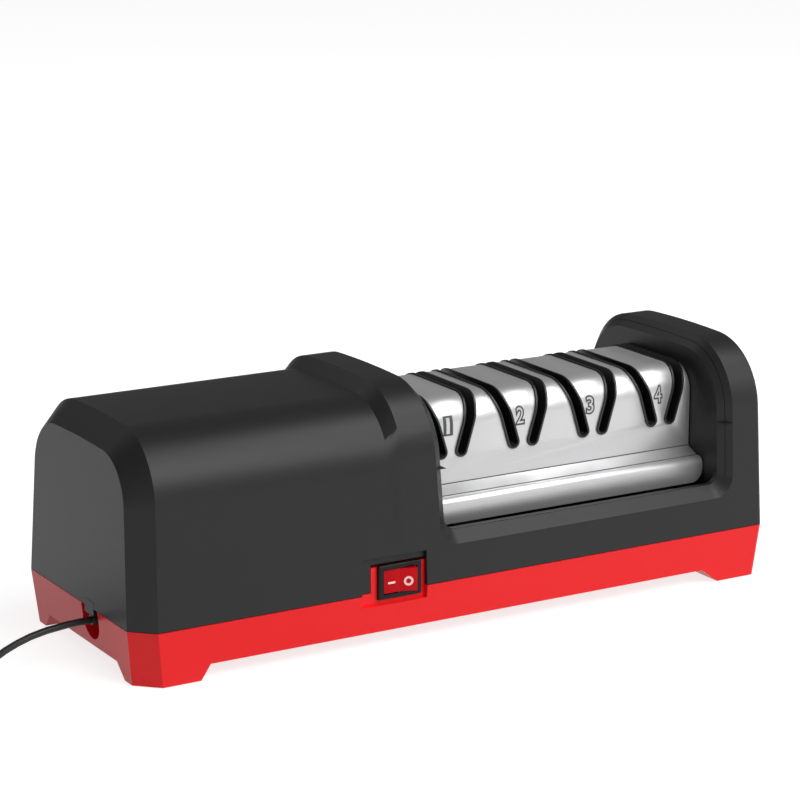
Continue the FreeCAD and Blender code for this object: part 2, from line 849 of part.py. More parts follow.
def cover_form(offset, bottom_z, ledge=True, x0=cover_left_x, x1=cover_right_x):
    """A solid with the cover's section, along X."""
    face = Part.Face(cover_profile(offset, bottom_z, ledge))
    solid = face.extrude(V(x1 - x0, 0, 0))
    solid.translate(V(x0 - cover_left_x, 0, 0))
    return solid


def stage_x(index):
    """X of the middle of a stage."""
    return stage_middle_x + (index - (stage_count - 1) / 2) * stage_pitch


def slot_form(index, side, width):
    """One slanted knife slot with a round bottom, through the whole depth."""
    x = stage_x(index) + side * slot_half_spacing
    tall = cover_top_z + 6 - slot_centre_z
    length = tall / math.cos(math.radians(slot_lean_deg))
    bar = box(-width / 2, width / 2, -half_depth, half_depth, 0, length)
    bar = bar.fuse(rod_y(-half_depth, half_depth, width / 2, 0, 0))
    bar.rotate(V(0, 0, 0), V(0, 1, 0), side * slot_lean_deg)
    bar.translate(V(x, 0, slot_centre_z))
    return bar


def all_slots(width):
    """All slots of one width as a list."""
    return [slot_form(i, side, width) for i in range(stage_count) for side in (-1, 1)]


def make_guide_cover():
    """The folded steel cover with its eight slots and rounded skirt corners."""
    below = cover_skirt_bottom_z - 1
    inside = cover_form(cover_sheet, below, True, cover_left_x - 1, cover_right_x + 1)
    sheet = cover_form(0.0, cover_skirt_bottom_z).cut(inside)
    for slot in all_slots(slot_outer_width + 2 * part_gap / 3):
        sheet = sheet.cut(slot)
    r = cover_skirt_corner
    for x, direction in ((cover_left_x, 1), (cover_right_x, -1)):
        middle = x + direction * r
        corner = box(min(x, middle), max(x, middle), -half_depth, half_depth, below, cover_skirt_bottom_z + r)
        sheet = sheet.cut(corner.cut(rod_y(-half_depth, half_depth, r, middle, cover_skirt_bottom_z + r)))
    return solid_of(sheet)


def guide_screw_y():
    """Distance of the guide's screws from the middle plane."""
    return cover_face_y - cover_sheet - guide_gap + guide_tab_reach / 2


def guide_screw_x():
    """X of the guide's screws."""
    return guide_tab_positions


def make_slot_guide():
    """The black guide under the cover, with a lip round each slot and ribs inside."""
    x0 = cover_left_x + guide_end_inset
    x1 = cover_right_x - guide_end_inset
    offset = cover_sheet + guide_gap
    outer = cover_form(offset, valley_floor_z, False, x0, x1)
    inner = cover_form(offset + guide_wall, valley_floor_z - 1, False, x0 + guide_wall, x1 - guide_wall)
    shell = outer.cut(inner)
    over_ends = box(x0 - 1, x1 + 1, -half_depth, half_depth, guide_end_height_z, cover_top_z + 5)
    through = cover_form(offset + guide_wall, guide_end_height_z - 1, False, x0 - 1, x1 + 1)
    shell = shell.cut(through.common(over_ends))
    lip_zone = cover_form(-guide_lip_proud, cover_ledge_top_z + 2, False)
    behind = cover_form(offset + 0.5, cover_ledge_top_z + 1, False, cover_left_x - 1, cover_right_x + 1)
    lip_zone = lip_zone.cut(behind)
    rib_zone = cover_form(offset + guide_wall - 0.3, cover_ledge_top_z + 4, False, x0, x1)
    core = cover_form(offset + guide_wall + guide_rib_depth, cover_ledge_top_z, False, x0 - 1, x1 + 1)
    rib_zone = rib_zone.cut(core)
    for slot in all_slots(slot_outer_width):
        shell = shell.fuse(slot.common(lip_zone))
        shell = shell.fuse(slot.common(rib_zone))
    for slot in all_slots(slot_channel_width):
        shell = shell.cut(slot)
    shell = shell.cut(shaft_notch(x0 - 1, x1 + 1, valley_floor_z - 1))
    for x in guide_screw_x():
        for side in (-1, 1):
            y0 = cover_face_y - offset - 0.5
            y1 = y0 + guide_tab_reach
            low, high = sorted((side * y0, side * y1))
            tab_x = (x - guide_tab_length / 2, x + guide_tab_length / 2)
            tab = box(*tab_x, low, high, valley_floor_z, valley_floor_z + guide_tab_thickness)
            bore_radius = small_screw_radius + screw_clearance
            bore = rod_z(valley_floor_z - 1, valley_floor_z + 5, bore_radius, x, side * guide_screw_y())
            shell = shell.fuse(tab).cut(bore)
    return solid_of(shell)


def make_guide_screws():
    """Four screws that hold the guide to the valley floor."""
    head_z = valley_floor_z + guide_tab_thickness
    places = [(x, side * guide_screw_y()) for x in guide_screw_x() for side in (-1, 1)]
    return group([make_small_screw(x, y, head_z, -1) for x, y in places])


def d_bore(x0, x1, clearance):
    """The shaft's flatted form, grown by a clearance, to cut from what it drives."""
    bore = rod_x(x0, x1, shaft_radius + clearance)
    flat = spindle_z + shaft_radius - shaft_flat_depth + clearance
    wide = shaft_radius * 2
    return bore.cut(box(x0, x1, -wide, wide, flat, spindle_z + wide))


def make_grinding_shaft():
    """The shaft that carries the discs, flatted along its middle."""
    shaft = rod_x(shaft_left_x, shaft_right_x, shaft_radius)
    top = spindle_z + shaft_radius
    wide = shaft_radius * 2
    flat = box(shaft_flat_left_x, shaft_flat_right_x, -wide, wide, top - shaft_flat_depth, top + 1)
    return solid_of(shaft.cut(flat))


def make_disc(index, side):
    """One grinding disc: a steel plate with a hub and a conical abrasive band facing outwards."""
    extra = resin_band_extra if index == stage_count - 1 else 0.0
    inner_x = disc_face_x - disc_plate
    outline = [
        (0.0, inner_x),
        (disc_band_inner, inner_x),
        (disc_radius, inner_x - disc_band_drop),
        (disc_radius, disc_face_x - disc_band_drop + extra / 2),
        (disc_band_inner + extra, disc_face_x + extra),
        (disc_band_inner, disc_face_x),
        (disc_hub_radius, disc_face_x),
        (disc_hub_radius, disc_face_x + disc_hub_length),
        (0.0, disc_face_x + disc_hub_length),
    ]
    clean = [outline[0]]
    for point in outline[1:]:
        if math.dist(point, clean[-1]) > 0.01:
            clean.append(point)
    face = polygon_face([V(x, 0, r) for r, x in clean])
    disc = face.revolve(V(0, 0, 0), V(1, 0, 0), 360)
    if side < 0:
        disc = disc.mirror(V(0, 0, 0), V(1, 0, 0))
    middle = stage_x(index)
    disc.translate(V(middle, 0, spindle_z))
    reach = disc_face_x + disc_hub_length + 2
    return solid_of(disc.cut(d_bore(middle - reach, middle + reach, running_clearance)))


def tangent_arcs(stations):
    """Two tangent arcs between each pair of stations, each a point with a direction."""
    edges = []
    for (p0, t0), (p1, t1) in zip(stations, stations[1:]):
        v = p1 - p0
        t = t0 + t1
        a = 2 * (1 - t0.dot(t1))
        b = v.dot(t)
        d = v.dot(v) / (2 * b) if a < 1e-9 else (-b + math.sqrt(b * b + a * v.dot(v))) / a
        q0 = p0 + t0 * d
        q1 = p1 - t1 * d
        joint = (q0 + q1) * 0.5
        for start, corner, end in ((p0, q0, joint), (joint, q1, p1)):
            chord = (start + end) * 0.5
            rise = corner - chord
            leg = (corner - start).Length
            half = (end - start).Length / 2
            if rise.Length < 1e-7:
                edges.append(Part.LineSegment(start, end).toShape())
                continue
            radius = half * leg / rise.Length
            sagitta = radius - math.sqrt(max(radius * radius - half * half, 0.0))
            middle = chord + rise * (sagitta / rise.Length)
            edges.append(Part.Arc(start, middle, end).toShape())
    return edges


def pipe(edges, radius):
    """A round tube along joined edges."""
    wire = Part.Wire(edges)
    first = edges[0]
    start = first.valueAt(first.FirstParameter)
    direction = first.tangentAt(first.FirstParameter)
    ring = Part.Wire([Part.makeCircle(radius, start, direction)])
    solid = wire.makePipeShell([ring], True)
    return Part.Solid(solid) if solid.ShapeType != "Solid" else solid


def least_gap(edges, radius, skip):
    """The least gap of a tube to itself, on points a fraction of a radius apart."""
    points = []
    for edge in edges:
        count = max(4, int(edge.Length / (radius * 0.7)))
        points += edge.discretize(Number=count)[:-1]
    step = edges[0].Length / max(4, int(edges[0].Length / (radius * 0.7)))
    away = max(6, int(skip / step))
    best = 1e9
    for i in range(len(points)):
        for j in range(i + away, len(points)):
            gap = (points[i] - points[j]).Length
            best = min(best, gap)
    return best - 2 * radius


def make_spring(index):
    """The compression spring between the two discs of a stage."""
    span = 2 * (disc_face_x - disc_plate - spring_end_gap) - 2 * spring_wire_radius
    first_x = stage_x(index) - span / 2
    steps = 4 * spring_turns
    rise = span / steps
    run = spring_mean_radius * math.pi / 2
    stations = []
    for i in range(steps + 1):
        angle = i * math.pi / 2
        across = spring_mean_radius * math.cos(angle)
        point = V(first_x + rise * i, across, spindle_z + spring_mean_radius * math.sin(angle))
        way = V(rise, -run * math.sin(angle), run * math.cos(angle)).normalize()
        stations.append((point, way))
    edges = tangent_arcs(stations)
    if index == 0:
        print("spring gap", round(least_gap(edges, spring_wire_radius, spring_mean_radius * 3), 3))
    return pipe(edges, spring_wire_radius)


def make_sleeves():
    """Sleeves that space the discs along the shaft."""
    reach = disc_face_x + disc_hub_length + sleeve_end_gap
    bore = shaft_radius + press_fit
    ends = [bearing_left_x + bearing_block_length + sleeve_end_gap]
    sleeves = []
    for i in range(stage_count):
        sleeves.append((ends[-1], stage_x(i) - reach))
        ends.append(stage_x(i) + reach)
    sleeves.append((ends[-1], bearing_right_x - sleeve_end_gap))
    return group([tube_x(a, b, sleeve_outer_radius, bore) for a, b in sleeves])


def make_clips():
    """Retaining clips outside the two bearing blocks."""
    left = bearing_left_x - part_gap - clip_thickness
    right = bearing_right_x + bearing_block_length + part_gap
    bore = shaft_radius + press_fit
    return group([tube_x(x, x + clip_thickness, clip_radius, bore) for x in (left, right)])


def make_bearing_block(x):
    """A pillar with a round head that holds a bush."""
    floor_top = tray_underside_z + tray_floor
    half = bearing_block_width / 2
    foot = box(x, x + bearing_block_length, -half, half, floor_top, floor_top + bearing_foot_height)
    neck = box(x, x + bearing_block_length, -bearing_crown, bearing_crown, floor_top, spindle_z)
    block = foot.fuse(neck).fuse(rod_x(x, x + bearing_block_length, bearing_crown))
    block = block.cut(rod_x(x - 1, x + bearing_block_length + 1, bush_radius))
    middle = x + bearing_block_length / 2
    bore_top = floor_top + bearing_foot_height - 0.5
    for side in (-1, 1):
        y = side * (half - bearing_screw_inset)
        block = block.cut(rod_z(floor_top - 1, bore_top, small_screw_radius + press_fit, middle, y))
    return solid_of(block)


def make_bushes(places, length, outer, shaft):
    """Sintered bushes with a running fit on their shaft."""
    return group([tube_x(x, x + length, outer, shaft + running_clearance) for x in places])


def motor_rear_x():
    """X of the back edge of the motor can."""
    return motor_front_x - motor_length


def make_motor_can():
    """The drawn steel can, closed at the front with a boss for the bush."""
    rear = motor_rear_x()
    can = rod_x(rear, motor_front_x, motor_radius)
    can = can.cut(rod_x(rear - 1, motor_front_x - motor_can_wall, motor_radius - motor_can_wall))
    boss_left = motor_front_x - motor_bush_length - 1
    can = can.fuse(tube_x(boss_left, motor_front_x - motor_can_wall, motor_boss_radius, motor_bush_radius))
    can = can.cut(rod_x(rear, motor_front_x + 1, motor_bush_radius))
    for side in (-1, 1):
        y = side * motor_screw_offset
        bore_left = motor_front_x - motor_can_wall - 1
        can = can.cut(rod_x(bore_left, motor_front_x + 1, small_screw_radius + press_fit, y))
    return solid_of(can)


def make_motor_end_cap():
    """The moulded rear cap that carries the bush, brushes and terminals."""
    rear = motor_rear_x()
    cap = rod_x(rear - end_cap_length, rear, motor_radius - 1)
    cap = cap.cut(rod_x(rear - end_cap_length + 2.5, rear + 1, motor_radius - 4))
    cap = cap.fuse(tube_x(rear - end_cap_length, rear, motor_boss_radius, motor_bush_radius))
    cap = cap.cut(rod_x(rear - end_cap_length - 1, rear + 1, motor_bush_radius))
    for side in (-1, 1):
        low, high = sorted((side * brush_arm_near, side * (motor_radius - brush_arm_far_room)))
        half = brush_size / 2
        left = commutator_right_x - commutator_length / 2 - half
        thick = half + brush_arm_wall
        right = left + brush_size + brush_arm_wall
        arm = box(rear - 2, right, low, high, spindle_z - thick, spindle_z + thick)
        near = half + brush_fit
        pocket_x = (left - brush_fit, left + brush_size + brush_fit)
        arm = arm.cut(box(*pocket_x, low - 1, high + 1, spindle_z - near, spindle_z + near))
        cap = cap.fuse(arm)
        z = spindle_z + side * motor_screw_offset
        wide = (terminal_width + 0.2) / 2
        thin = terminal_slot / 2
        cap = cap.cut(box(rear - end_cap_length - 1, rear, -wide, wide, z - thin, z + thin))
    return solid_of(cap)


def make_magnets():
    """Two arc magnets on the inside of the can."""
    outer = motor_radius - motor_can_wall - 0.05
    right = motor_front_x - magnet_front_room
    ring = tube_x(right - magnet_length, right, outer, outer - magnet_thickness)
    magnets = []
    reach = motor_radius * 2
    spread = reach * math.tan(math.radians(90 - magnet_half_angle))
    for side in (-1, 1):
        wedge = polygon_face(
            [
                V(right - magnet_length - 1, 0, spindle_z),
                V(right - magnet_length - 1, side * spread, spindle_z + reach),
                V(right - magnet_length - 1, side * reach, spindle_z + reach),
                V(right - magnet_length - 1, side * reach, spindle_z - reach),
                V(right - magnet_length - 1, side * spread, spindle_z - reach),
            ]
        ).extrude(V(magnet_length + 2, 0, 0))
        magnets.append(ring.common(wedge).Solids[0])
    return group(magnets)


def make_brushes():
    """Two carbon brushes beside the commutator."""
    half = brush_size / 2
    left = commutator_right_x - commutator_length / 2 - half
    near = commutator_radius + brush_clearance
    brushes = []
    for side in (-1, 1):
        low, high = sorted((side * near, side * (near + brush_length)))
        brushes.append(box(left, left + brush_size, low, high, spindle_z - half, spindle_z + half))
    return group(brushes)


def make_motor_terminals():
    """Two blade terminals through the rear cap."""
    rear = motor_rear_x() - end_cap_length
    blades = []
    for side in (-1, 1):
        z = spindle_z + side * motor_screw_offset
        wide = terminal_width / 2
        thin = terminal_thickness / 2
        blades.append(box(rear - terminal_length, rear + 6, -wide, wide, z - thin, z + thin))
    return group(blades)


def make_armature():
    """The laminated core with its winding slots."""
    radius = motor_radius - motor_can_wall - 0.05 - magnet_thickness - air_gap
    right = motor_front_x - armature_front_room
    core = rod_x(right - armature_length, right, radius)
    for i in range(armature_slots):
        half = armature_slot_width / 2
        floor = spindle_z + armature_slot_floor
        slot = box(right - armature_length - 1, right + 1, -half, half, floor, spindle_z + radius + 1)
        slot.rotate(V(0, 0, spindle_z), V(1, 0, 0), i * 360 / armature_slots)
        core = core.cut(slot)
    return solid_of(core.cut(rod_x(right - armature_length - 1, right + 1, motor_shaft_radius + press_fit)))


def make_windings():
    """The copper end turns at both sides of the core."""
    right = motor_front_x - armature_front_room
    left = right - armature_length
    inner = motor_shaft_radius + press_fit
    heads = []
    for x0, x1 in ((left - winding_length / 2, left), (right, right + winding_length / 2)):
        heads.append(tube_x(x0, x1, winding_radius, inner))
    return group(heads)


def make_commutator():
    """The segmented copper commutator."""
    left = commutator_right_x - commutator_length
    part = tube_x(left, commutator_right_x, commutator_radius, motor_shaft_radius + press_fit)
    for i in range(armature_slots):
        half = commutator_cut / 2
        edge = spindle_z + commutator_radius
        cut = box(left - 1, commutator_right_x + 1, -half, half, edge - 1, edge + 1)
        cut.rotate(V(0, 0, spindle_z), V(1, 0, 0), (i + 0.5) * 360 / armature_slots)
        part = part.cut(cut)
    return solid_of(part)


def motor_shaft_right_x():
    """X of the motor shaft's driven end."""
    return shaft_left_x - coupling_gap


def make_coupling():
    """The sleeve that joins the motor shaft and the grinding shaft."""
    middle = (shaft_left_x + motor_shaft_right_x()) / 2
    left = middle - coupling_grip
    right = middle + coupling_grip
    part = rod_x(left, right, coupling_radius)
    part = part.cut(rod_x(left - 1, middle, motor_shaft_radius + press_fit))
    part = part.cut(rod_x(middle, right + 1, shaft_radius + press_fit))
    top = spindle_z + coupling_radius + 1
    for x in (middle - coupling_screw_offset, middle + coupling_screw_offset):
        part = part.cut(rod_z(spindle_z, top, small_screw_radius + press_fit, x, 0))
    return solid_of(part)


def make_coupling_screws():
    """Two grub screws of the coupling."""
    middle = (shaft_left_x + motor_shaft_right_x()) / 2
    top = spindle_z + coupling_radius - 0.4
    screws = []
    for side, radius in ((-1, motor_shaft_radius), (1, shaft_radius)):
        x = middle + side * coupling_screw_offset
        screws.append(rod_z(spindle_z + radius + 0.1, top, small_screw_radius, x, 0))
    return group(screws)


def make_motor_bracket():
    """The bent steel bracket that the motor's front face is screwed to."""
    floor_top = tray_underside_z + tray_floor
    x0 = motor_front_x
    wide = bracket_half_width
    foot_right = x0 + bracket_thickness + bracket_foot_length
    plate = box(x0, x0 + bracket_thickness, -wide, wide, floor_top, bracket_top_z)
    foot = box(x0, foot_right, -wide, wide, floor_top, floor_top + bracket_thickness)
    part = plate.fuse(foot).cut(rod_x(x0 - 1, x0 + 4, motor_boss_radius + part_gap))
    for side in (-1, 1):
        y = side * motor_screw_offset
        part = part.cut(rod_x(x0 - 1, x0 + 4, small_screw_radius + screw_clearance, y))
        x = x0 + bracket_thickness + bracket_foot_length / 2
        y = side * bracket_screw_y
        part = part.cut(rod_z(floor_top - 1, floor_top + 4, small_screw_radius + press_fit, x, y))
    return solid_of(part)


def make_motor_screws():
    """Two screws through the bracket into the can."""
    x0 = motor_front_x + bracket_thickness
    screws = []
    for side in (-1, 1):
        y = side * motor_screw_offset
        head = rod_x(x0, x0 + small_head_height, small_head_radius, y)
        shank = rod_x(x0 - bracket_thickness - motor_can_wall - 1, x0, small_screw_radius, y)
        screws.append(head.fuse(shank).removeSplitter())
    return group(screws)


def make_motor_saddle():
    """The moulded cradle under the rear of the can."""
    floor_top = tray_underside_z + tray_floor
    x0 = saddle_left_x
    wide = saddle_half_width
    part = box(x0, x0 + saddle_length, -wide, wide, floor_top, spindle_z - saddle_drop)
    part = part.cut(rod_x(x0 - 1, x0 + saddle_length + 1, motor_radius + 0.1))
    middle = x0 + saddle_length / 2
    for side in (-1, 1):
        y = side * saddle_screw_y
        part = part.cut(rod_z(floor_top - 1, floor_top + 8, small_screw_radius + press_fit, middle, y))
    return solid_of(part)


def make_motor_strap():
    """The steel strap over the can, hooked on the cradle's shoulders."""
    x0 = saddle_left_x + (saddle_length - strap_width) / 2
    inner = motor_radius + 0.15
    band = tube_x(x0, x0 + strap_width, inner + strap_thickness, inner)
    wide = motor_radius * 2
    below = box(x0 - 1, x0 + strap_width + 1, -wide, wide, 0, spindle_z - saddle_drop + 0.1)
    return solid_of(band.cut(below))
def make_switch_body():
    """The black bezel and body of the rocker switch, with the pocket for the rocker."""
    x0 = switch_left_x
    x1 = x0 + switch_bezel_length
    z0 = switch_bottom_z
    z1 = z0 + switch_bezel_height
    m = switch_body_margin
    bezel = box(x0, x1, switch_bezel_front_y, switch_panel_y, z0, z1)
    front_edges = [e for e in bezel.Edges if e.BoundBox.YMax < switch_bezel_front_y + 0.01]
    bezel = bezel.makeFillet(0.6, front_edges)
    body = box(x0 + m, x1 - m, switch_panel_y, switch_panel_y + switch_body_depth, z0 + m, z1 - m)
    part = bezel.fuse(body)
    xc = (x0 + x1) / 2
    zc = (z0 + z1) / 2
    half_x = rocker_half_length + rocker_end_gap
    half_z = rocker_half_height + rocker_side_gap
    deep = rocker_pivot_y + rocker_depth + 1.6
    part = part.cut(box(xc - half_x, xc + half_x, switch_bezel_front_y - 1, deep, zc - half_z, zc + half_z))
    reach = rocker_pin_half() + 0.1
    part = part.cut(rod_z(zc - reach, zc + reach, rocker_pin_radius + 0.05, xc, rocker_pivot_y))
    back = switch_panel_y + switch_body_depth
    wide = terminal_width / 2
    thin = terminal_slot / 2
    for offset in (-terminal_offset, terminal_offset):
        x = xc + offset
        part = part.cut(box(x - wide, x + wide, back - terminal_grip, back + 1, zc - thin, zc + thin))
    return solid_of(part)


def rocker_pin_half():
    """Half the length of the rocker's pin, which reaches into both side walls."""
    return rocker_half_height + rocker_side_gap + rocker_pin_reach


def make_rocker_pin():
    """The steel pin that the rocker turns on."""
    x = switch_left_x + switch_bezel_length / 2
    z = switch_bottom_z + switch_bezel_height / 2
    return rod_z(z - rocker_pin_half(), z + rocker_pin_half(), rocker_pin_radius, x, rocker_pivot_y)


def make_switch_terminals():
    """Two blade terminals behind the switch."""
    xc = switch_left_x + switch_bezel_length / 2
    zc = switch_bottom_z + switch_bezel_height / 2
    back = switch_panel_y + switch_body_depth
    thin = terminal_thickness / 2
    wide = (terminal_width - 0.1) / 2
    blades = []
    for offset in (-terminal_offset, terminal_offset):
        x = xc + offset
        blade_y = (back - terminal_grip, back + terminal_length)
        blades.append(box(x - wide, x + wide, *blade_y, zc - thin, zc + thin))
    return group(blades)


def make_rocker():
    """The red rocker, modelled with its dash side pressed in."""
    face = -rocker_face_drop
    rise = rocker_half_length * math.tan(math.radians(rocker_throw_deg))
    h = rocker_half_length
    outline = [
        (-h, face - rise),
        (0.0, face),
        (h, face - rise),
        (h, 0.6),
        (rocker_back_half, rocker_depth),
        (-rocker_back_half, rocker_depth),
        (-h, 0.6),
    ]
    bottom = -rocker_half_height
    part = polygon_face([V(x, y, bottom) for x, y in outline]).extrude(V(0, 0, 2 * rocker_half_height))
    part = part.cut(rod_z(bottom - 1, rocker_half_height + 1, rocker_pin_radius + press_fit, 0, 0))
    part.rotate(V(0, 0, 0), V(0, 0, 1), -rocker_throw_deg)
    xc = switch_left_x + switch_bezel_length / 2
    zc = switch_bottom_z + switch_bezel_height / 2
    part.translate(V(xc, rocker_pivot_y, zc))
    return solid_of(part)


def make_cord_grommet():
    """The tapered sleeve round the lead, inside the notch."""
    back = -half_length + notch_depth
    flange = rod_x(back - grommet_flange, back, grommet_flange_radius, lead_y, lead_z)
    length = back - grommet_flange - lead_exit_x - 0.1
    seat = V(back - grommet_flange, lead_y, lead_z)
    cone = Part.makeCone(grommet_base_radius, grommet_tip_radius, length, seat, V(-1, 0, 0))
    part = flange.fuse(cone).cut(rod_x(lead_exit_x - 1, back + 1, lead_radius + press_fit, lead_y, lead_z))
    return solid_of(part)


def make_lead_inner():
    """The lead's end inside the body, from the notch to past the clamp."""
    return rod_x(lead_exit_x, inner_lead_end_x, lead_radius, lead_y, lead_z)


def make_cord_clamp():
    """The bar that presses the lead on its saddle."""
    x0 = clamp_left_x
    low = lead_z + 0.1
    bar_y = (lead_y - clamp_half_length, lead_y + clamp_half_length)
    part = box(x0, x0 + clamp_width, *bar_y, low, low + clamp_thickness)
    part = part.cut(rod_x(x0 - 1, x0 + clamp_width + 1, lead_radius + press_fit, lead_y, lead_z))
    x = x0 + clamp_width / 2
    for side in (-1, 1):
        y = lead_y + side * clamp_screw_y()
        part = part.cut(rod_z(low - 1, low + 5, small_screw_radius + screw_clearance, x, y))
    return solid_of(part)


def make_clamp_screws():
    """Two screws of the cord clamp."""
    head_z = lead_z + 0.1 + clamp_thickness
    x = clamp_left_x + clamp_width / 2
    places = [lead_y + side * clamp_screw_y() for side in (-1, 1)]
    return group([make_small_screw(x, y, head_z, -1) for y in places])


def rounded_route(points):
    """Straight runs joined by tangent arcs through a list of points, and the arcs' radii."""
    edges = []
    radii = []
    here = points[0]
    for before, corner, after in zip(points, points[1:], points[2:]):
        back = before - corner
        ahead = after - corner
        shorter = min(back.Length, ahead.Length)
        back.normalize()
        ahead.normalize()
        turn = math.pi - math.acos(max(-1.0, min(1.0, back.dot(ahead))))
        leg = bend_share * shorter
        radii.append(leg / math.tan(turn / 2))
        start = corner + back * leg
        end = corner + ahead * leg
        bisector = (back + ahead).normalize()
        centre_away = radii[-1] / math.cos(turn / 2)
        middle = corner + bisector * (centre_away - radii[-1])
        edges.append(Part.LineSegment(here, start).toShape())
        edges.append(Part.Arc(start, middle, end).toShape())
        here = end
    edges.append(Part.LineSegment(here, points[-1]).toShape())
    return edges, radii


def make_route(points, radius, name):
    """A tube along a rounded route, with its sizes printed."""
    edges, radii = rounded_route(points)
    solid = pipe(edges, radius)
    length = sum(e.Length for e in edges)
    ratio = solid.Volume / (math.pi * radius ** 2 * length)
    rounded = [round(r, 1) for r in radii]
    print(name, "length", round(length, 1), "radii", rounded, "volume ratio", round(ratio, 4))
    return solid


def switch_terminal_end(offset):
    """Where a wire meets the end of a switch terminal."""
    x = switch_left_x + switch_bezel_length / 2 + offset
    z = switch_bottom_z + switch_bezel_height / 2
    return V(x, switch_panel_y + switch_body_depth + terminal_length, z)


def motor_terminal_face(side):
    """Where a wire meets the flat of a motor terminal."""
    x = motor_rear_x() - end_cap_length - terminal_length / 2
    return V(x, 0, spindle_z + side * (motor_screw_offset + terminal_thickness / 2))


def make_wires():
    """Three inner wires: lead to switch, switch to motor, motor back to lead."""
    start = V(inner_lead_end_x, lead_y, lead_z)
    feed_end = switch_terminal_end(-terminal_offset)
    link_start = switch_terminal_end(terminal_offset)
    link_end = motor_terminal_face(1)
    return_end = motor_terminal_face(-1)
    feed = [
        start + V(0, -wire_offset, 0),
        start + V(9, -1.4, -0.6),
        start + V(25, -16, -2.8),
        start + V(43, -20, -3.8),
        V(feed_end.x - 26.7, -32, 15),
        V(feed_end.x - 8.7, -31.5, 21),
        feed_end + V(-0.6, 7, -0.4),
        feed_end + V(0, 0.06, 0),
    ]
    link = [
        link_start + V(0, 0.16, 0),
        link_start + V(0.4, 7, 2.2),
        V(link_start.x - 4.7, -33, spindle_z - 4),
        V(motor_front_x + 2, -38, spindle_z + 12),
        V(motor_front_x - 28, -39, spindle_z + 20),
        V(motor_front_x - 60, -30, spindle_z + 26),
        link_end + V(0.5, -8, 12.6),
        link_end + V(0, 0.2, 8),
        link_end,
    ]
    back = [
        start + V(0, wire_offset, 0),
        start + V(7, 1.1, 0.2),
        V(return_end.x + 0.5, -5.0, spindle_z - 27),
        return_end + V(-0.2, -0.3, -7),
        return_end,
    ]
    return {
        "wire_feed": make_route(feed, wire_radius, "wire_feed"),
        "wire_link": make_route(link, wire_radius, "wire_link"),
        "wire_return": make_route(back, wire_radius, "wire_return"),
    }


def coil_state(turn, height):
    """Radius, its change and the height on the wound coil, by turns from its entry."""
    n = coil_layer_turns
    if turn <= n:
        return coil_outer_radius - coil_pitch * turn, -coil_pitch, 0.0, 0.0
    if turn >= n + 0.5:
        return coil_inner_radius + coil_pitch * (turn - n - 0.5), coil_pitch, height, 0.0
    return coil_inner_radius - coil_pitch * crossing_share, 0.0, height / 2, height * crossing_climb


def coil_centre():
    """The coil's centre: the lead runs into its front edge."""
    return V(coil_entry_x - coil_straight, lead_route[-1].y + coil_outer_radius, lead_radius)


def make_coil():
    """The put-away length: one tube that spirals in below and out again above."""
    centre = coil_centre()
    stations = []
    count = int(4 * (2 * coil_layer_turns + 0.5))
    for i in range(count + 1):
        turn = i / 4
        radius, change, height, climb = coil_state(turn, coil_pitch)
        angle = -math.pi / 2 - turn * 2 * math.pi
        outward = V(math.cos(angle), math.sin(angle), 0)
        around = V(math.sin(angle), -math.cos(angle), 0)
        point = centre + outward * radius + V(0, 0, height)
        way = around * (2 * math.pi * radius) + outward * change + V(0, 0, climb)
        stations.append((point, way.normalize()))
    first, last = stations[0], stations[-1]
    entry = first[0] - first[1] * coil_straight
    leave = last[0] + last[1] * coil_straight
    edges = [Part.LineSegment(entry, first[0]).toShape()]
    edges += tangent_arcs(stations)
    edges.append(Part.LineSegment(last[0], leave).toShape())
    solid = pipe(edges, lead_radius)
    length = sum(e.Length for e in edges)
    ratio = solid.Volume / (math.pi * lead_radius ** 2 * length)
    gap = least_gap(edges, lead_radius, coil_inner_radius * 2.5)
    print("coil length", round(length, 1), "least gap", round(gap, 3), "volume ratio", round(ratio, 4))
    return solid, entry, first[1], leave, last[1]


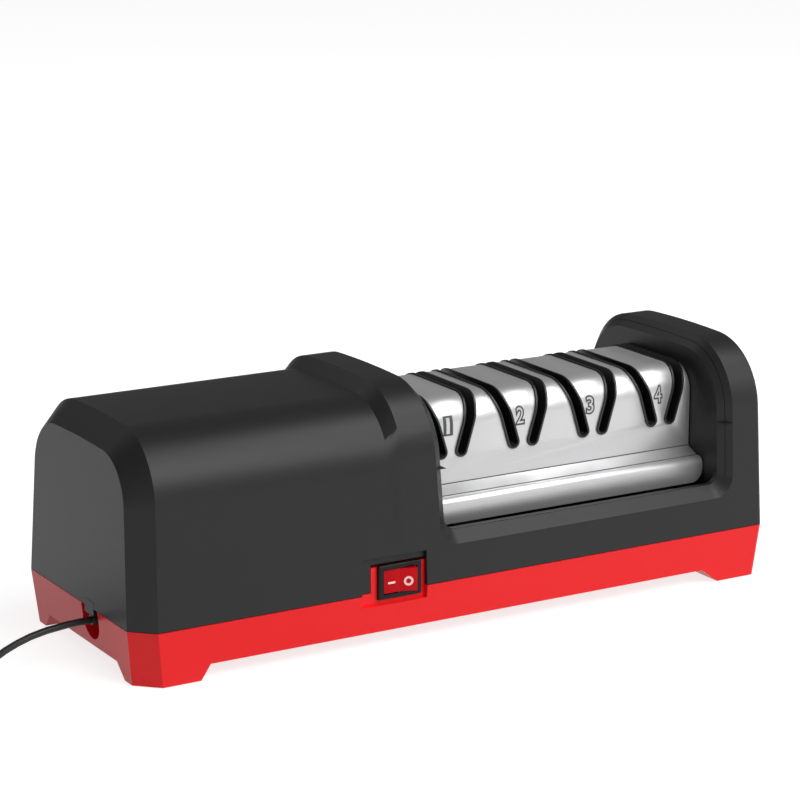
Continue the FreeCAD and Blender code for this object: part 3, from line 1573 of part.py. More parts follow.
def main():
    """Build every sub-part and write it."""
    os.makedirs("parts", exist_ok=True)
    save(make_base_tray(), "base_tray")
    save(make_upper_housing(), "upper_housing")
    save(make_guide_cover(), "guide_cover")
    save(make_slot_guide(), "slot_guide")
    save(make_guide_screws(), "guide_screws")
    save(make_foot_pads(), "foot_pads")
    save(make_base_screws(), "base_screws")
    save(make_floor_screws(), "floor_screws")
    save(make_grinding_shaft(), "grinding_shaft")
    save(make_sleeves(), "spacer_sleeves")
    save(make_clips(), "shaft_clips")
    names = ("coarse", "medium", "fine", "polish")
    for i in range(stage_count):
        save(make_disc(i, -1), names[i] + "_disc_left")
        save(make_disc(i, 1), names[i] + "_disc_right")
        save(make_spring(i), names[i] + "_spring")
    save(make_bearing_block(bearing_left_x), "bearing_block_left")
    save(make_bearing_block(bearing_right_x), "bearing_block_right")
    bearings = (bearing_left_x, bearing_right_x)
    bushes = make_bushes(bearings, bearing_block_length, bush_radius - press_fit, shaft_radius)
    save(bushes, "shaft_bushes")
    save(make_motor_can(), "motor_can")
    save(make_motor_end_cap(), "motor_end_cap")
    save(make_magnets(), "motor_magnets")
    save(make_brushes(), "motor_brushes")
    save(make_motor_terminals(), "motor_terminals")
    ends = (motor_front_x - motor_bush_length, motor_rear_x() - end_cap_length)
    bushes = make_bushes(ends, motor_bush_length, motor_bush_radius - press_fit, motor_shaft_radius)
    save(bushes, "motor_bushes")
    save(rod_x(motor_shaft_left_x, motor_shaft_right_x(), motor_shaft_radius), "motor_shaft")
    save(make_armature(), "armature_core")
    save(make_windings(), "armature_winding")
    save(make_commutator(), "commutator")
    save(make_coupling(), "shaft_coupling")
    save(make_coupling_screws(), "coupling_screws")
    save(make_motor_bracket(), "motor_bracket")
    save(make_motor_screws(), "motor_screws")
    save(make_motor_saddle(), "motor_saddle")
    save(make_motor_strap(), "motor_strap")
    save(make_switch_body(), "switch_body")
    save(make_switch_terminals(), "switch_terminals")
    save(make_rocker(), "rocker")
    save(make_rocker_pin(), "rocker_pin")
    save(make_cord_grommet(), "cord_grommet")
    save(make_lead_inner(), "lead_inner")
    save(make_cord_clamp(), "cord_clamp")
    save(make_clamp_screws(), "clamp_screws")
    for name, wire in make_wires().items():
        save(wire, name)
    coil, entry, arrival, leave, way = make_coil()
    save(coil, "lead_coil")
    route = lead_route[:-1] + [entry - arrival * lead_last_run, entry]
    save(make_route(route, lead_radius, "lead"), "lead")
    save_plug(leave, way)


def save_plug(leave, way):
    """The lead's last stretch and the barrel plug beside the coil."""
    turned = FreeCAD.Rotation(V(0, 0, 1), plug_turn_deg).multVec(way)
    bend = leave + way * plug_tail_run
    start = bend + turned * plug_tail_run
    save(make_route([leave, bend, start], lead_radius, "lead_tail"), "lead_tail")
    neck = Part.makeCone(plug_neck_radius - 0.4, plug_neck_radius + 0.6, plug_neck_length, start, turned)
    seat = start + turned * plug_neck_length
    body = Part.makeCylinder(plug_body_radius, plug_body_length, seat, turned)
    front = seat + turned * plug_body_length
    rims = [e for e in body.Edges if e.Closed and abs((e.CenterOfMass - front).dot(turned)) < 0.01]
    body = body.makeFillet(0.8, rims)
    save(solid_of(neck.fuse(body)), "plug_body")
    barrel = Part.makeCylinder(plug_barrel_radius, plug_barrel_length, front, turned)
    bore = Part.makeCylinder(plug_barrel_bore, plug_barrel_length, front + turned, turned)
    save(solid_of(barrel.cut(bore)), "plug_barrel")


main()
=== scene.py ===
"""Electric knife sharpener: four grinding stages under a folded steel guide, on a red tray.

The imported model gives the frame. This script dresses it: camera and lead first, then the casing, the
blade guide, the switch, the drive and the wiring.
"""
import logging
import math
from dataclasses import dataclass
from enum import Enum
from typing import Any, Callable, Iterable, Sequence

import bmesh
import bpy
from mathutils import Matrix, Vector


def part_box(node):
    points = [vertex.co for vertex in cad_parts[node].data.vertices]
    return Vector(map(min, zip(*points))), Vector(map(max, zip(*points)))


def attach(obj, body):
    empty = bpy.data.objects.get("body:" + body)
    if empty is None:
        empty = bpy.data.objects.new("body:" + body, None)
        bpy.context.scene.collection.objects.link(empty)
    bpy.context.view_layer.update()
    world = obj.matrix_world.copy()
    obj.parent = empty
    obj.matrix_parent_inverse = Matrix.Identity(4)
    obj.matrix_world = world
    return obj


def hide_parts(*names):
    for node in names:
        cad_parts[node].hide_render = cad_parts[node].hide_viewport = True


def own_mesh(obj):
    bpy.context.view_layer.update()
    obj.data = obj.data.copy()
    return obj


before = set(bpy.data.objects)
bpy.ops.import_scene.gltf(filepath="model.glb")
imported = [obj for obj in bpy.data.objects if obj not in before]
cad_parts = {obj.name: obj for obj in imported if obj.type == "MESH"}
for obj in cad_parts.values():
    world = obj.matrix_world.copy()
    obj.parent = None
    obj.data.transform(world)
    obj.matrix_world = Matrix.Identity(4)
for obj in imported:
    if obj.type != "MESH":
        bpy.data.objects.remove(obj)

LOG = logging.getLogger("knife_sharpener")
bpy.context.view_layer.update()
MM = 0.001
SHARP_DEG = 32.0


class Axis(Enum):
    """Direction in which a metal's brush lines or turning marks run."""

    X = 0
    Y = 1
    Z = 2
    NONE = 3


def linear(hex_colour: str) -> tuple[float, float, float, float]:
    """Turn an sRGB hex colour into linear RGBA.

    Args:
        hex_colour: six hex digits with a leading hash.

    Returns:
        Linear red, green and blue with an alpha of one.
    """
    channels = []
    for start in (1, 3, 5):
        value = int(hex_colour[start:start + 2], 16) / 255
        channels.append(value / 12.92 if value <= 0.04045 else ((value + 0.055) / 1.055) ** 2.4)
    return (channels[0], channels[1], channels[2], 1.0)


def add_node(
    tree: bpy.types.NodeTree,
    kind: str,
    inputs: dict[Any, Any] | None = None,
    links: dict[Any, bpy.types.NodeSocket] | None = None,
    **settings: Any,
) -> bpy.types.Node:
    """Add one shader node.

    Args:
        tree: the node tree that gets it.
        kind: the node's type name.
        inputs: socket values by socket name or number.
        links: output sockets to join, by input socket name or number.
        **settings: properties of the node itself.

    Returns:
        The new node.
    """
    node = tree.nodes.new(kind)
    for key, value in settings.items():
        setattr(node, key, value)
    for key, value in (inputs or {}).items():
        node.inputs[key].default_value = value
    for key, socket in (links or {}).items():
        tree.links.new(socket, node.inputs[key])
    return node


@dataclass(frozen=True)
class Finish:
    """One real material: its name, its colour and how rough it is."""

    name: str
    slot: str
    colour: str
    roughness: float
    metallic: float = 0.0
    specular: float = 0.5

    def material(self) -> bpy.types.Material:
        """Make the material, or return it if it is made already."""
        label = f"{self.name}_finish"
        made = bpy.data.materials.get(label)
        if made is not None:
            return made
        made = bpy.data.materials.new(label)
        made.use_nodes = True
        made.diffuse_color = linear(self.colour)
        tree = made.node_tree
        shader = tree.nodes["Principled BSDF"]
        shader.inputs["Base Color"].default_value = linear(self.colour)
        shader.inputs["Roughness"].default_value = self.roughness
        shader.inputs["Metallic"].default_value = self.metallic
        shader.inputs["Specular IOR Level"].default_value = self.specular
        self.pattern(tree, shader)
        return made

    def pattern(self, tree: bpy.types.NodeTree, shader: bpy.types.Node) -> None:
        """Add the finish's own surface detail."""

    def scaled_noise(
        self, tree: bpy.types.NodeTree, scale: Sequence[float], detail: float = 3.0
    ) -> bpy.types.Node:
        """Add a noise on Object coordinates.

        Args:
            tree: the node tree that gets it.
            scale: features per metre along X, Y and Z.
            detail: octaves of the noise.

        Returns:
            The noise node.
        """
        place = add_node(tree, "ShaderNodeTexCoord")
        mapping = add_node(
            tree, "ShaderNodeMapping", {"Scale": tuple(scale)}, {"Vector": place.outputs["Object"]}
        )
        return add_node(
            tree, "ShaderNodeTexNoise", {"Scale": 1.0, "Detail": detail}, {"Vector": mapping.outputs[0]}
        )

    def vary_colour(
        self, tree: bpy.types.NodeTree, shader: bpy.types.Node, factor: bpy.types.NodeSocket, other: str
    ) -> None:
        """Blend the colour towards another by a pattern."""
        mix = add_node(tree, "ShaderNodeMix", None, {0: factor}, data_type="RGBA")
        mix.inputs[6].default_value = linear(self.colour)
        mix.inputs[7].default_value = linear(other)
        tree.links.new(mix.outputs[2], shader.inputs["Base Color"])

    def vary_roughness(
        self, tree: bpy.types.NodeTree, shader: bpy.types.Node, factor: bpy.types.NodeSocket, spread: float
    ) -> None:
        """Let the roughness move by a pattern, half the spread to each side."""
        limits = {"To Min": self.roughness - spread / 2, "To Max": self.roughness + spread / 2}
        span = add_node(tree, "ShaderNodeMapRange", limits, {"Value": factor})
        tree.links.new(span.outputs[0], shader.inputs["Roughness"])

    def raise_by(
        self, tree: bpy.types.NodeTree, shader: bpy.types.Node, height: bpy.types.NodeSocket,
        depth_mm: float, strength: float,
    ) -> None:
        """Make a relief of a pattern, as deep as depth_mm."""
        bump = add_node(
            tree, "ShaderNodeBump", {"Strength": strength, "Distance": depth_mm * MM}, {"Height": height}
        )
        tree.links.new(bump.outputs[0], shader.inputs["Normal"])


@dataclass(frozen=True)
class MouldedPlastic(Finish):
    """Injection-moulded plastic from an etched tool: a fine even grain that softens highlights."""

    grain_mm: float = 0.5
    relief_mm: float = 0.02
    relief: float = 0.25
    mottle: str = "#3a3a3a"
    sheen_patch_mm: float = 45.0

    def pattern(self, tree: bpy.types.NodeTree, shader: bpy.types.Node) -> None:
        """Grain relief, with a slight change of gloss and shade over some centimetres."""
        grain = self.scaled_noise(tree, [1 / (self.grain_mm * MM)] * 3, 2.0)
        patch = self.scaled_noise(tree, [1 / (self.sheen_patch_mm * MM)] * 3, 2.0)
        self.vary_colour(tree, shader, patch.outputs["Fac"], self.mottle)
        self.vary_roughness(tree, shader, grain.outputs["Fac"], 0.12)
        self.raise_by(tree, shader, grain.outputs["Fac"], self.relief_mm, self.relief)


@dataclass(frozen=True)
class LinedMetal(Finish):
    """Metal with fine parallel lines, from a brush, a roll or a cutting tool."""

    line_mm: float = 0.35
    line_length_mm: float = 30.0
    along: Axis = Axis.X
    other: str = "#9a9a9a"
    relief_mm: float = 0.006
    spread: float = 0.14

    def pattern(self, tree: bpy.types.NodeTree, shader: bpy.types.Node) -> None:
        """Lines stretched along one axis, in shade, gloss and a very low relief."""
        scale = [1 / (self.line_mm * MM)] * 3
        if self.along is not Axis.NONE:
            scale[self.along.value] = 1 / (self.line_length_mm * MM)
        lines = self.scaled_noise(tree, scale, 4.0)
        self.vary_colour(tree, shader, lines.outputs["Fac"], self.other)
        self.vary_roughness(tree, shader, lines.outputs["Fac"], self.spread)
        self.raise_by(tree, shader, lines.outputs["Fac"], self.relief_mm, 0.5)


@dataclass(frozen=True)
class Grit(Finish):
    """Abrasive grains bonded to a disc: small facets that glint."""

    grain_mm: float = 0.4
    other: str = "#c8c8c4"

    def pattern(self, tree: bpy.types.NodeTree, shader: bpy.types.Node) -> None:
        """Cells of grain in shade and relief."""
        place = add_node(tree, "ShaderNodeTexCoord")
        cells = add_node(
            tree, "ShaderNodeTexVoronoi", {"Scale": 1 / (self.grain_mm * MM)},
            {"Vector": place.outputs["Object"]},
        )
        self.vary_colour(tree, shader, cells.outputs["Color"], self.other)
        self.raise_by(tree, shader, cells.outputs["Distance"], self.grain_mm / 3, 0.7)


@dataclass(frozen=True)
class Soft(Finish):
    """Rubber or soft vinyl: matt, with a faint bloom."""

    bloom: str = "#2c2c2c"

    def pattern(self, tree: bpy.types.NodeTree, shader: bpy.types.Node) -> None:
        """A slow change of shade and a fine skin."""
        skin = self.scaled_noise(tree, [1 / (0.8 * MM)] * 3)
        slow = self.scaled_noise(tree, [1 / (9 * MM)] * 3)
        self.vary_colour(tree, shader, slow.outputs["Fac"], self.bloom)
        self.raise_by(tree, shader, skin.outputs["Fac"], 0.02, 0.3)


# ABS from a spark-etched tool: even, dark, with wide soft highlights.
CHARCOAL_ABS = MouldedPlastic("charcoal_abs", "charcoal_abs", "#1e1e1f", 0.42, specular=0.3, mottle="#212122")
# ABS from a finer tool: a full red that darkens little in shade.
RED_ABS = MouldedPlastic(
    "red_abs", "red_abs", "#ee1419", 0.36, specular=0.35, grain_mm=0.4, relief_mm=0.01, relief=0.15,
    mottle="#f2171c",
)
# Stainless sheet, brushed along its length: bright, with lines along the body.
BRUSHED_STAINLESS = LinedMetal(
    "brushed_stainless", "cover_steel", "#d2d2d2", 0.38, 0.72, line_mm=0.3, line_length_mm=26.0,
    along=Axis.X, other="#c9c9ca", relief_mm=0.001, spread=0.08,
)
# Glass-filled nylon: black, a little duller than the switch.
BLACK_NYLON = MouldedPlastic(
    "black_nylon", "black_nylon", "#101011", 0.4, grain_mm=0.6, relief_mm=0.012, mottle="#141415"
)
# Polished moulding of a switch housing.
SWITCH_BLACK = MouldedPlastic(
    "switch_black", "switch_black", "#0d0d0e", 0.3, specular=0.2, grain_mm=0.7, relief_mm=0.004, relief=0.1,
    mottle="#101011",
)
# Polished polycarbonate of a rocker.
ROCKER_RED = MouldedPlastic(
    "rocker_red", "rocker_red", "#c80012", 0.24, specular=0.14, grain_mm=1.2, relief_mm=0.003, relief=0.1,
    mottle="#c4000e",
)
# The same sheet made paler and less metallic on the ledge and the skirt: painted reflection, the brightness
# these faces show painted into their colour. A matt surface there is a guess.
SATIN_AND_PAINTED_REFLECTION_SHEET = Finish("satin_sheet_painted_reflection", "cover_steel", "#dedede", 0.5, 0.2)
# Pad-printed paint, a warm white on the red rocker.
MARK_WHITE = Finish("mark_white", "rocker_red", "#ffd9d2", 0.5)
# Screen-printed ink on the sheet, for the numbers. The same dark grey on the ledge strips is painted shade of
# the grooves.
GREY_INK_AND_GROOVE_SHADE = Finish("grey_ink_and_groove_shade", "cover_steel", "#4b4b4d", 0.6)
# Moulded rubber: matt and nearly black, for the pads.
PAD_RUBBER = Soft("pad_rubber", "pad_rubber", "#1c1c1c", 0.8, bloom="#262626")
# Extruded vinyl: a soft low gloss on the lead, and brighter skins on the inner wires.
LEAD_VINYL = Soft("lead_vinyl", "cord_pvc", "#141414", 0.45, bloom="#1a1a1a")
WIRE_RED = Soft("wire_red", "wire_red", "#a81c1c", 0.4, bloom="#b02222")
WIRE_BLACK = Soft("wire_black", "wire_black", "#161616", 0.4, bloom="#1b1b1b")
# Zinc-plated steel: pale, a little warm.
ZINC_STEEL = LinedMetal(
    "zinc_steel", "zinc_steel", "#c9c7bd", 0.3, 1.0, line_mm=0.5, along=Axis.NONE, other="#bdbbb2"
)
# Steel turned or ground: fine tool marks and a cool shine.
TURNED_STEEL = LinedMetal(
    "turned_steel", "plain_steel", "#c3c3c2", 0.28, 1.0, line_mm=0.3, along=Axis.NONE, other="#acacab"
)
# Drawn and enamelled copper, in fine strands.
COPPER = LinedMetal("copper", "copper", "#c98a62", 0.35, 1.0, line_mm=0.6, along=Axis.NONE, other="#b3714c")
# Pressed and sintered bronze: dull, with open pores.
SINTERED_BRONZE = LinedMetal(
    "sintered_bronze", "sintered_bronze", "#a98a55", 0.55, 1.0, line_mm=0.25, along=Axis.NONE,
    other="#8b7145", relief_mm=0.03,
)
# Pressed carbon and ferrite: dark, dry and matt.
CARBON = MouldedPlastic("carbon", "carbon", "#2a2a2b", 0.6, grain_mm=0.3, mottle="#323233")
FERRITE = MouldedPlastic("ferrite", "ferrite", "#3a3838", 0.7, grain_mm=0.4, mottle="#444141")
# Nickel-plated brass: smooth and warm, for contacts and the plug's barrel.
NICKEL_PLATE = LinedMetal(
    "nickel_plate", "brass_plated", "#d6d2c8", 0.18, 1.0, line_mm=0.4, along=Axis.NONE, other="#cbc7bd"
)
# Abrasive bonded to the discs. The grains are drawn coarser than real ones, so that they show.
GRIT_FINISHES = {
    "coarse": Grit("grit_coarse", "grit_coarse", "#6d6d6a", 0.5, 0.6, grain_mm=0.6),
    "medium": Grit("grit_medium", "grit_medium", "#7c7c79", 0.45, 0.6, grain_mm=0.45),
    "fine": Grit("grit_fine", "grit_fine", "#8a8a87", 0.4, 0.6, grain_mm=0.35),
    "polish": Grit("polish_bond", "polish_bond", "#b5733c", 0.7, 0.0, grain_mm=0.5, other="#9c5f2e"),
}


def dress(node: str, finish: Finish) -> None:
    """Give a CAD node its finish."""
    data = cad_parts[node].data
    data.materials.clear()
    data.materials.append(finish.material())


def finish_piece(piece: bpy.types.Object, body: str, finish: Finish, *nodes: str) -> bpy.types.Object:
    """Give a new piece its finish, its body and the nodes that it stands for.

    Args:
        piece: the new object.
        body: the body that carries it.
        finish: its finish.
        *nodes: CAD nodes that it replaces.

    Returns:
        The same object.
    """
    piece.data.materials.clear()
    piece.data.materials.append(finish.material())
    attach(piece, body)
    if nodes:
        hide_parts(*nodes)
    LOG.info("piece %s rides %s", piece.name, body)
    return piece


def object_from(shape: bmesh.types.BMesh, name: str, sharp_deg: float = SHARP_DEG) -> bpy.types.Object:
    """Turn a bmesh into a scene object with smooth faces and sharp creases.

    Args:
        shape: the bmesh, which is freed.
        name: the object's name.
        sharp_deg: edges that turn more than this stay sharp.

    Returns:
        The new object at the origin.
    """
    for face in shape.faces:
        face.smooth = True
    limit = math.radians(sharp_deg)
    for edge in shape.edges:
        edge.smooth = len(edge.link_faces) == 2 and edge.calc_face_angle(0.0) < limit
    mesh = bpy.data.meshes.new(name)
    shape.to_mesh(mesh)
    shape.free()
    piece = bpy.data.objects.new(name, mesh)
    bpy.context.scene.collection.objects.link(piece)
    return piece


def merged_copy(node: str) -> bmesh.types.BMesh:
    """A bmesh of a CAD node with its triangles joined and its flat areas made whole."""
    shape = bmesh.new()
    shape.from_mesh(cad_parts[node].data)
    bmesh.ops.remove_doubles(shape, verts=shape.verts, dist=0.004 * MM)
    bmesh.ops.dissolve_degenerate(shape, edges=shape.edges, dist=0.002 * MM)
    return shape


def soften(
    shape: bmesh.types.BMesh, width_mm: float, segments: int = 2, over_deg: float = SHARP_DEG,
    keep: Callable[[bmesh.types.BMEdge], bool] | None = None,
) -> None:
    """Round the sharp edges of a shape, as a moulding or a deburred sheet has them.

    Args:
        shape: the bmesh to change.
        width_mm: how far the rounding reaches from the edge.
        segments: faces across the rounding.
        over_deg: only edges that turn more than this are rounded.
        keep: a test that an edge has to pass, if given.
    """
    bmesh.ops.dissolve_limit(
        shape, angle_limit=math.radians(0.4), verts=shape.verts, edges=shape.edges, delimit={"NORMAL"}
    )
    limit = math.radians(over_deg)
    sharp = [
        edge for edge in shape.edges
        if len(edge.link_faces) == 2 and edge.calc_face_angle(0.0) > limit and (keep is None or keep(edge))
    ]
    bmesh.ops.bevel(
        shape, geom=sharp, offset=width_mm * MM, offset_type="OFFSET", segments=segments, profile=0.5,
        affect="EDGES", material=-1, clamp_overlap=True, loop_slide=True,
    )


def even_shading(piece: bpy.types.Object) -> None:
    """Let large faces rule the shading at their borders, so that flat walls stay even."""
    weighted = piece.modifiers.new("even_shading", "WEIGHTED_NORMAL")
    weighted.keep_sharp = True
    weighted.weight = 100


@dataclass
class PhotoView:
    """The camera, at the photograph's place."""

    azimuth_deg: float = -30.50
    elevation_deg: float = 14.06
    distance: float = 1.20846
    focal_px: float = 2732.57
    image_px: float = 800.0
    sensor_mm: float = 36.0
    aim: tuple[float, float, float] = (-0.00062, 0.0, 0.09071)

    def place(self) -> bpy.types.Object:
        """Make the camera and make it the scene's own.

        Returns:
            The camera object.
        """
        azimuth = math.radians(self.azimuth_deg)
        elevation = math.radians(self.elevation_deg)
        back = Vector((
            math.sin(azimuth) * math.cos(elevation),
            -math.cos(azimuth) * math.cos(elevation),
            math.sin(elevation),
        ))
        data = bpy.data.cameras.new("photo_camera")
        data.sensor_width = self.sensor_mm
        data.lens = self.focal_px * self.sensor_mm / self.image_px
        camera = bpy.data.objects.new("photo_camera", data)
        bpy.context.scene.collection.objects.link(camera)
        camera.location = Vector(self.aim) + back * self.distance
        camera.rotation_euler = back.to_track_quat("Z", "Y").to_euler()
        bpy.context.scene.camera = camera
        return camera


@dataclass
class Studio:
    """Pale floor, white surroundings and soft lamps."""

    floor_size: float = 12.0
    floor_colour: str = "#bebebe"
    floor_glow: float = 0.78
    room_light: float = 0.62

    def build(self) -> None:
        """Make floor, world and lamps."""
        self.floor()
        self.world()
        self.lamp("key_lamp", (0.5, -1.5, 1.5), (0.0, 0.0, 0.05), 1.2, 26.0)
        self.lamp("fill_lamp", (1.8, -0.9, 0.9), (0.0, 0.0, 0.06), 1.0, 7.0)
        self.lamp("back_lamp", (-0.5, 1.4, 1.7), (0.0, 0.0, 0.06), 1.0, 4.0)
        self.lamp("top_lamp", (0.62, -0.28, 1.1), (0.0, 0.0, 0.06), 0.4, 3.5)
        bpy.context.scene.view_settings.view_transform = "Standard"

    def floor(self) -> None:
        """A wide floor that shows as white to the camera and takes the shadow."""
        shape = bmesh.new()
        bmesh.ops.create_grid(shape, x_segments=1, y_segments=1, size=self.floor_size / 2)
        floor = object_from(shape, "studio_floor")
        floor.data.materials.append(self.floor_material())

    def floor_material(self) -> bpy.types.Material:
        """White to the camera with its soft shadow, plain pale to all other rays."""
        made = bpy.data.materials.new("studio_floor")
        made.use_nodes = True
        tree = made.node_tree
        shader = tree.nodes["Principled BSDF"]
        shader.inputs["Base Color"].default_value = linear(self.floor_colour)
        shader.inputs["Roughness"].default_value = 0.9
        shader.inputs["Specular IOR Level"].default_value = 0.1
        glow = add_node(tree, "ShaderNodeEmission", {"Strength": self.floor_glow})
        both = add_node(tree, "ShaderNodeAddShader", None, {0: shader.outputs[0], 1: glow.outputs[0]})
        mix = add_node(
            tree, "ShaderNodeMixShader", None,
            {0: self.seen_directly(tree), 1: shader.outputs[0], 2: both.outputs[0]},
        )
        tree.links.new(mix.outputs[0], tree.nodes["Material Output"].inputs["Surface"])
        return made

    def seen_directly(self, tree: bpy.types.NodeTree) -> bpy.types.NodeSocket:
        """One where a camera, glossy or transmission ray looks, zero for all other light."""
        path = add_node(tree, "ShaderNodeLightPath")
        mirror = add_node(
            tree, "ShaderNodeMath", None,
            {0: path.outputs["Is Glossy Ray"], 1: path.outputs["Is Transmission Ray"]}, operation="ADD",
        )
        either = add_node(
            tree, "ShaderNodeMath", None, {0: path.outputs["Is Camera Ray"], 1: mirror.outputs[0]},
            operation="ADD", use_clamp=True,
        )
        return either.outputs[0]

    def world(self) -> None:
        """A room that is pale in front of the object and darker behind it."""
        world = bpy.data.worlds.new("studio_world")
        bpy.context.scene.world = world
        world.use_nodes = True
        tree = world.node_tree
        direction = add_node(tree, "ShaderNodeTexCoord")
        parts = add_node(tree, "ShaderNodeSeparateXYZ", None, {0: direction.outputs["Generated"]})
        height = add_node(
            tree, "ShaderNodeMapRange", {"From Min": -1.0, "From Max": 1.0}, {0: parts.outputs["Y"]}
        )
        room = add_node(tree, "ShaderNodeValToRGB", None, {0: height.outputs[0]})
        ramp = room.color_ramp
        ramp.elements[0].position = 0.0
        ramp.elements[0].color = linear("#f4f4f4")
        ramp.elements[1].position = 0.42
        ramp.elements[1].color = linear("#d8d8d8")
        for position, colour in ((0.5, "#5c5c5c"), (0.72, "#6e6e6e"), (1.0, "#9c9c9c")):
            stop = ramp.elements.new(position)
            stop.color = linear(colour)
        add_node(
            tree, "ShaderNodeBackground", {"Strength": self.room_light}, {"Color": room.outputs[0]},
            name="room",
        )
        tree.links.new(tree.nodes["room"].outputs[0], tree.nodes["World Output"].inputs["Surface"])

    def lamp(
        self, name: str, place: Sequence[float], aim: Sequence[float], size: float, power: float
    ) -> None:
        """Add one square soft lamp.

        Args:
            name: the lamp's name.
            place: where it hangs.
            aim: the point it faces.
            size: its side in metres.
            power: its power in watts.
        """
        data = bpy.data.lights.new(name, "AREA")
        data.shape = "SQUARE"
        data.size = size
        data.energy = power
        lamp = bpy.data.objects.new(name, data)
        bpy.context.scene.collection.objects.link(lamp)
        lamp.location = place
        lamp.rotation_euler = (Vector(place) - Vector(aim)).to_track_quat("Z", "Y").to_euler()


@dataclass
class Lead:
    """The thin lead: out of the notch, down to the table, and a put-away coil with a barrel plug."""

    radius: float = 1.5 * MM
    exit: tuple[float, float, float] = (-0.15728, -0.012, 0.0188)
    coil_centre: tuple[float, float, float] = (-0.233, 0.013875, 0.0015)
    coil_mean: float = 18.0 * MM
    pitch: float = 3.5 * MM
    layer_turns: float = 4.5
    points_per_turn: int = 16
    tail_run: float = 7.5 * MM
    tail_turn_deg: float = 16.0
    coil_lead_in: float = 3.0 * MM
    free_run: float = 76.0 * MM

    def route(self) -> list[tuple[float, float, float]]:
        """The free stretch from the notch to the coil, listed point by point."""
        return [
            self.exit,
            (-0.175, -0.012, 0.0186),
            (-0.194, -0.0122, 0.0136),
            (-0.208, -0.0121, 0.0050),
            (-0.219, -0.0123, 0.0015),
            (-0.230, -0.01206, 0.0015),
        ]

    def coil(self) -> list[tuple[float, float, float]]:
        """The wound turns: a spiral inwards on the table, then outwards on top of it."""
        spread = self.layer_turns * self.pitch
        outer = self.coil_mean + spread / 2
        inner = self.coil_mean - spread / 2
        swell = 1 / math.cos(math.pi / self.points_per_turn)
        points = []
        total = 2 * self.layer_turns + 0.5
        for step in range(int(total * self.points_per_turn) + 1):
            turn = step / self.points_per_turn
            past = turn - self.layer_turns
            if past <= 0.0:
                radius, lift = outer - self.pitch * turn, 0.0
            elif past < 0.5:
                ease = (1 - math.cos(past * 2 * math.pi)) / 2
                radius, lift = inner - 0.2 * self.pitch * math.sin(past * 2 * math.pi), self.pitch * ease
            else:
                radius, lift = inner + self.pitch * (past - 0.5), self.pitch
            angle = -math.pi / 2 - turn * 2 * math.pi
            points.append((
                self.coil_centre[0] + radius * swell * math.cos(angle),
                self.coil_centre[1] + radius * swell * math.sin(angle),
                self.coil_centre[2] + lift,
            ))
        return points

    def tail(self) -> list[tuple[float, float, float]]:
        """The last stretch, up to the plug's neck."""
        way = Vector((0.99977, 0.02152, 0.0))
        leave = Vector((-0.230, 0.03981, self.coil_centre[2] + self.pitch))
        bend = leave + way * self.tail_run
        turned = Matrix.Rotation(math.radians(self.tail_turn_deg), 3, "Z") @ way
        return [tuple(leave), tuple(bend), tuple(bend + turned * self.tail_run)]

    def build(self) -> None:
        """Make the lead as one curve and dress the plug."""
        points = self.route() + self.coil() + self.tail()
        data = bpy.data.curves.new("lead_cable", "CURVE")
        data.dimensions = "3D"
        data.bevel_depth = self.radius
        data.bevel_resolution = 3
        data.resolution_u = 3
        data.use_fill_caps = True
        spline = data.splines.new("NURBS")
        spline.points.add(len(points) - 1)
        for point, place in zip(spline.points, points):
            point.co = (*place, 1.0)
        spline.order_u = 3
        spline.use_endpoint_u = True
        cable = bpy.data.objects.new("lead_cable", data)
        bpy.context.scene.collection.objects.link(cable)
        finish_piece(cable, "root", LEAD_VINYL, "lead", "lead_coil", "lead_tail")
        dress("plug_body", LEAD_VINYL)
        dress("plug_barrel", NICKEL_PLATE)


@dataclass
class Casing:
    """Tray, housing, pads and the screws that join them."""

    edge_mm: float = 0.55
    end_round_mm: float = 2.2
    end_over_deg: float = 25.0
    end_x: float = -140.0 * MM
    split_high: float = 25.5 * MM
    upstand_drop: float = 1.1 * MM
    upstand_back_y: float = -48.0 * MM
    upstand_reach: float = 0.05 * MM

    def on_end_chamfer(self, edge: bmesh.types.BMEdge) -> bool:
        """Whether an edge borders the broad chamfer round the motor end, on the outside."""
        middle = (edge.verts[0].co + edge.verts[1].co) / 2
        outward = all(face.normal.x < 0.02 for face in edge.link_faces)
        return middle.x < self.end_x and middle.z > self.split_high and outward and edge.is_convex

    def lower_upstand(self, tray: bmesh.types.BMesh) -> None:
        """Bring the top of the tray's upstand down behind the switch bezel, which hides it."""
        front = [vert for vert in tray.verts if vert.co.y < self.upstand_back_y]
        top = max(vert.co.z for vert in front)
        for vert in front:
            if vert.co.z > top - self.upstand_reach:
                vert.co.z -= self.upstand_drop

    def build(self) -> None:
        """Make the casing's visible pieces."""
        housing = merged_copy("upper_housing")
        soften(housing, self.end_round_mm, 4, self.end_over_deg, self.on_end_chamfer)
        soften(housing, self.edge_mm)
        shell = object_from(housing, "housing_shell")
        even_shading(finish_piece(shell, "root", CHARCOAL_ABS, "upper_housing"))
        tray = merged_copy("base_tray")
        self.lower_upstand(tray)
        soften(tray, self.edge_mm)
        even_shading(finish_piece(object_from(tray, "tray_shell"), "root", RED_ABS, "base_tray"))
        dress("foot_pads", PAD_RUBBER)
        for node in ("base_screws", "floor_screws", "clamp_screws", "guide_screws"):
            dress(node, ZINC_STEEL)


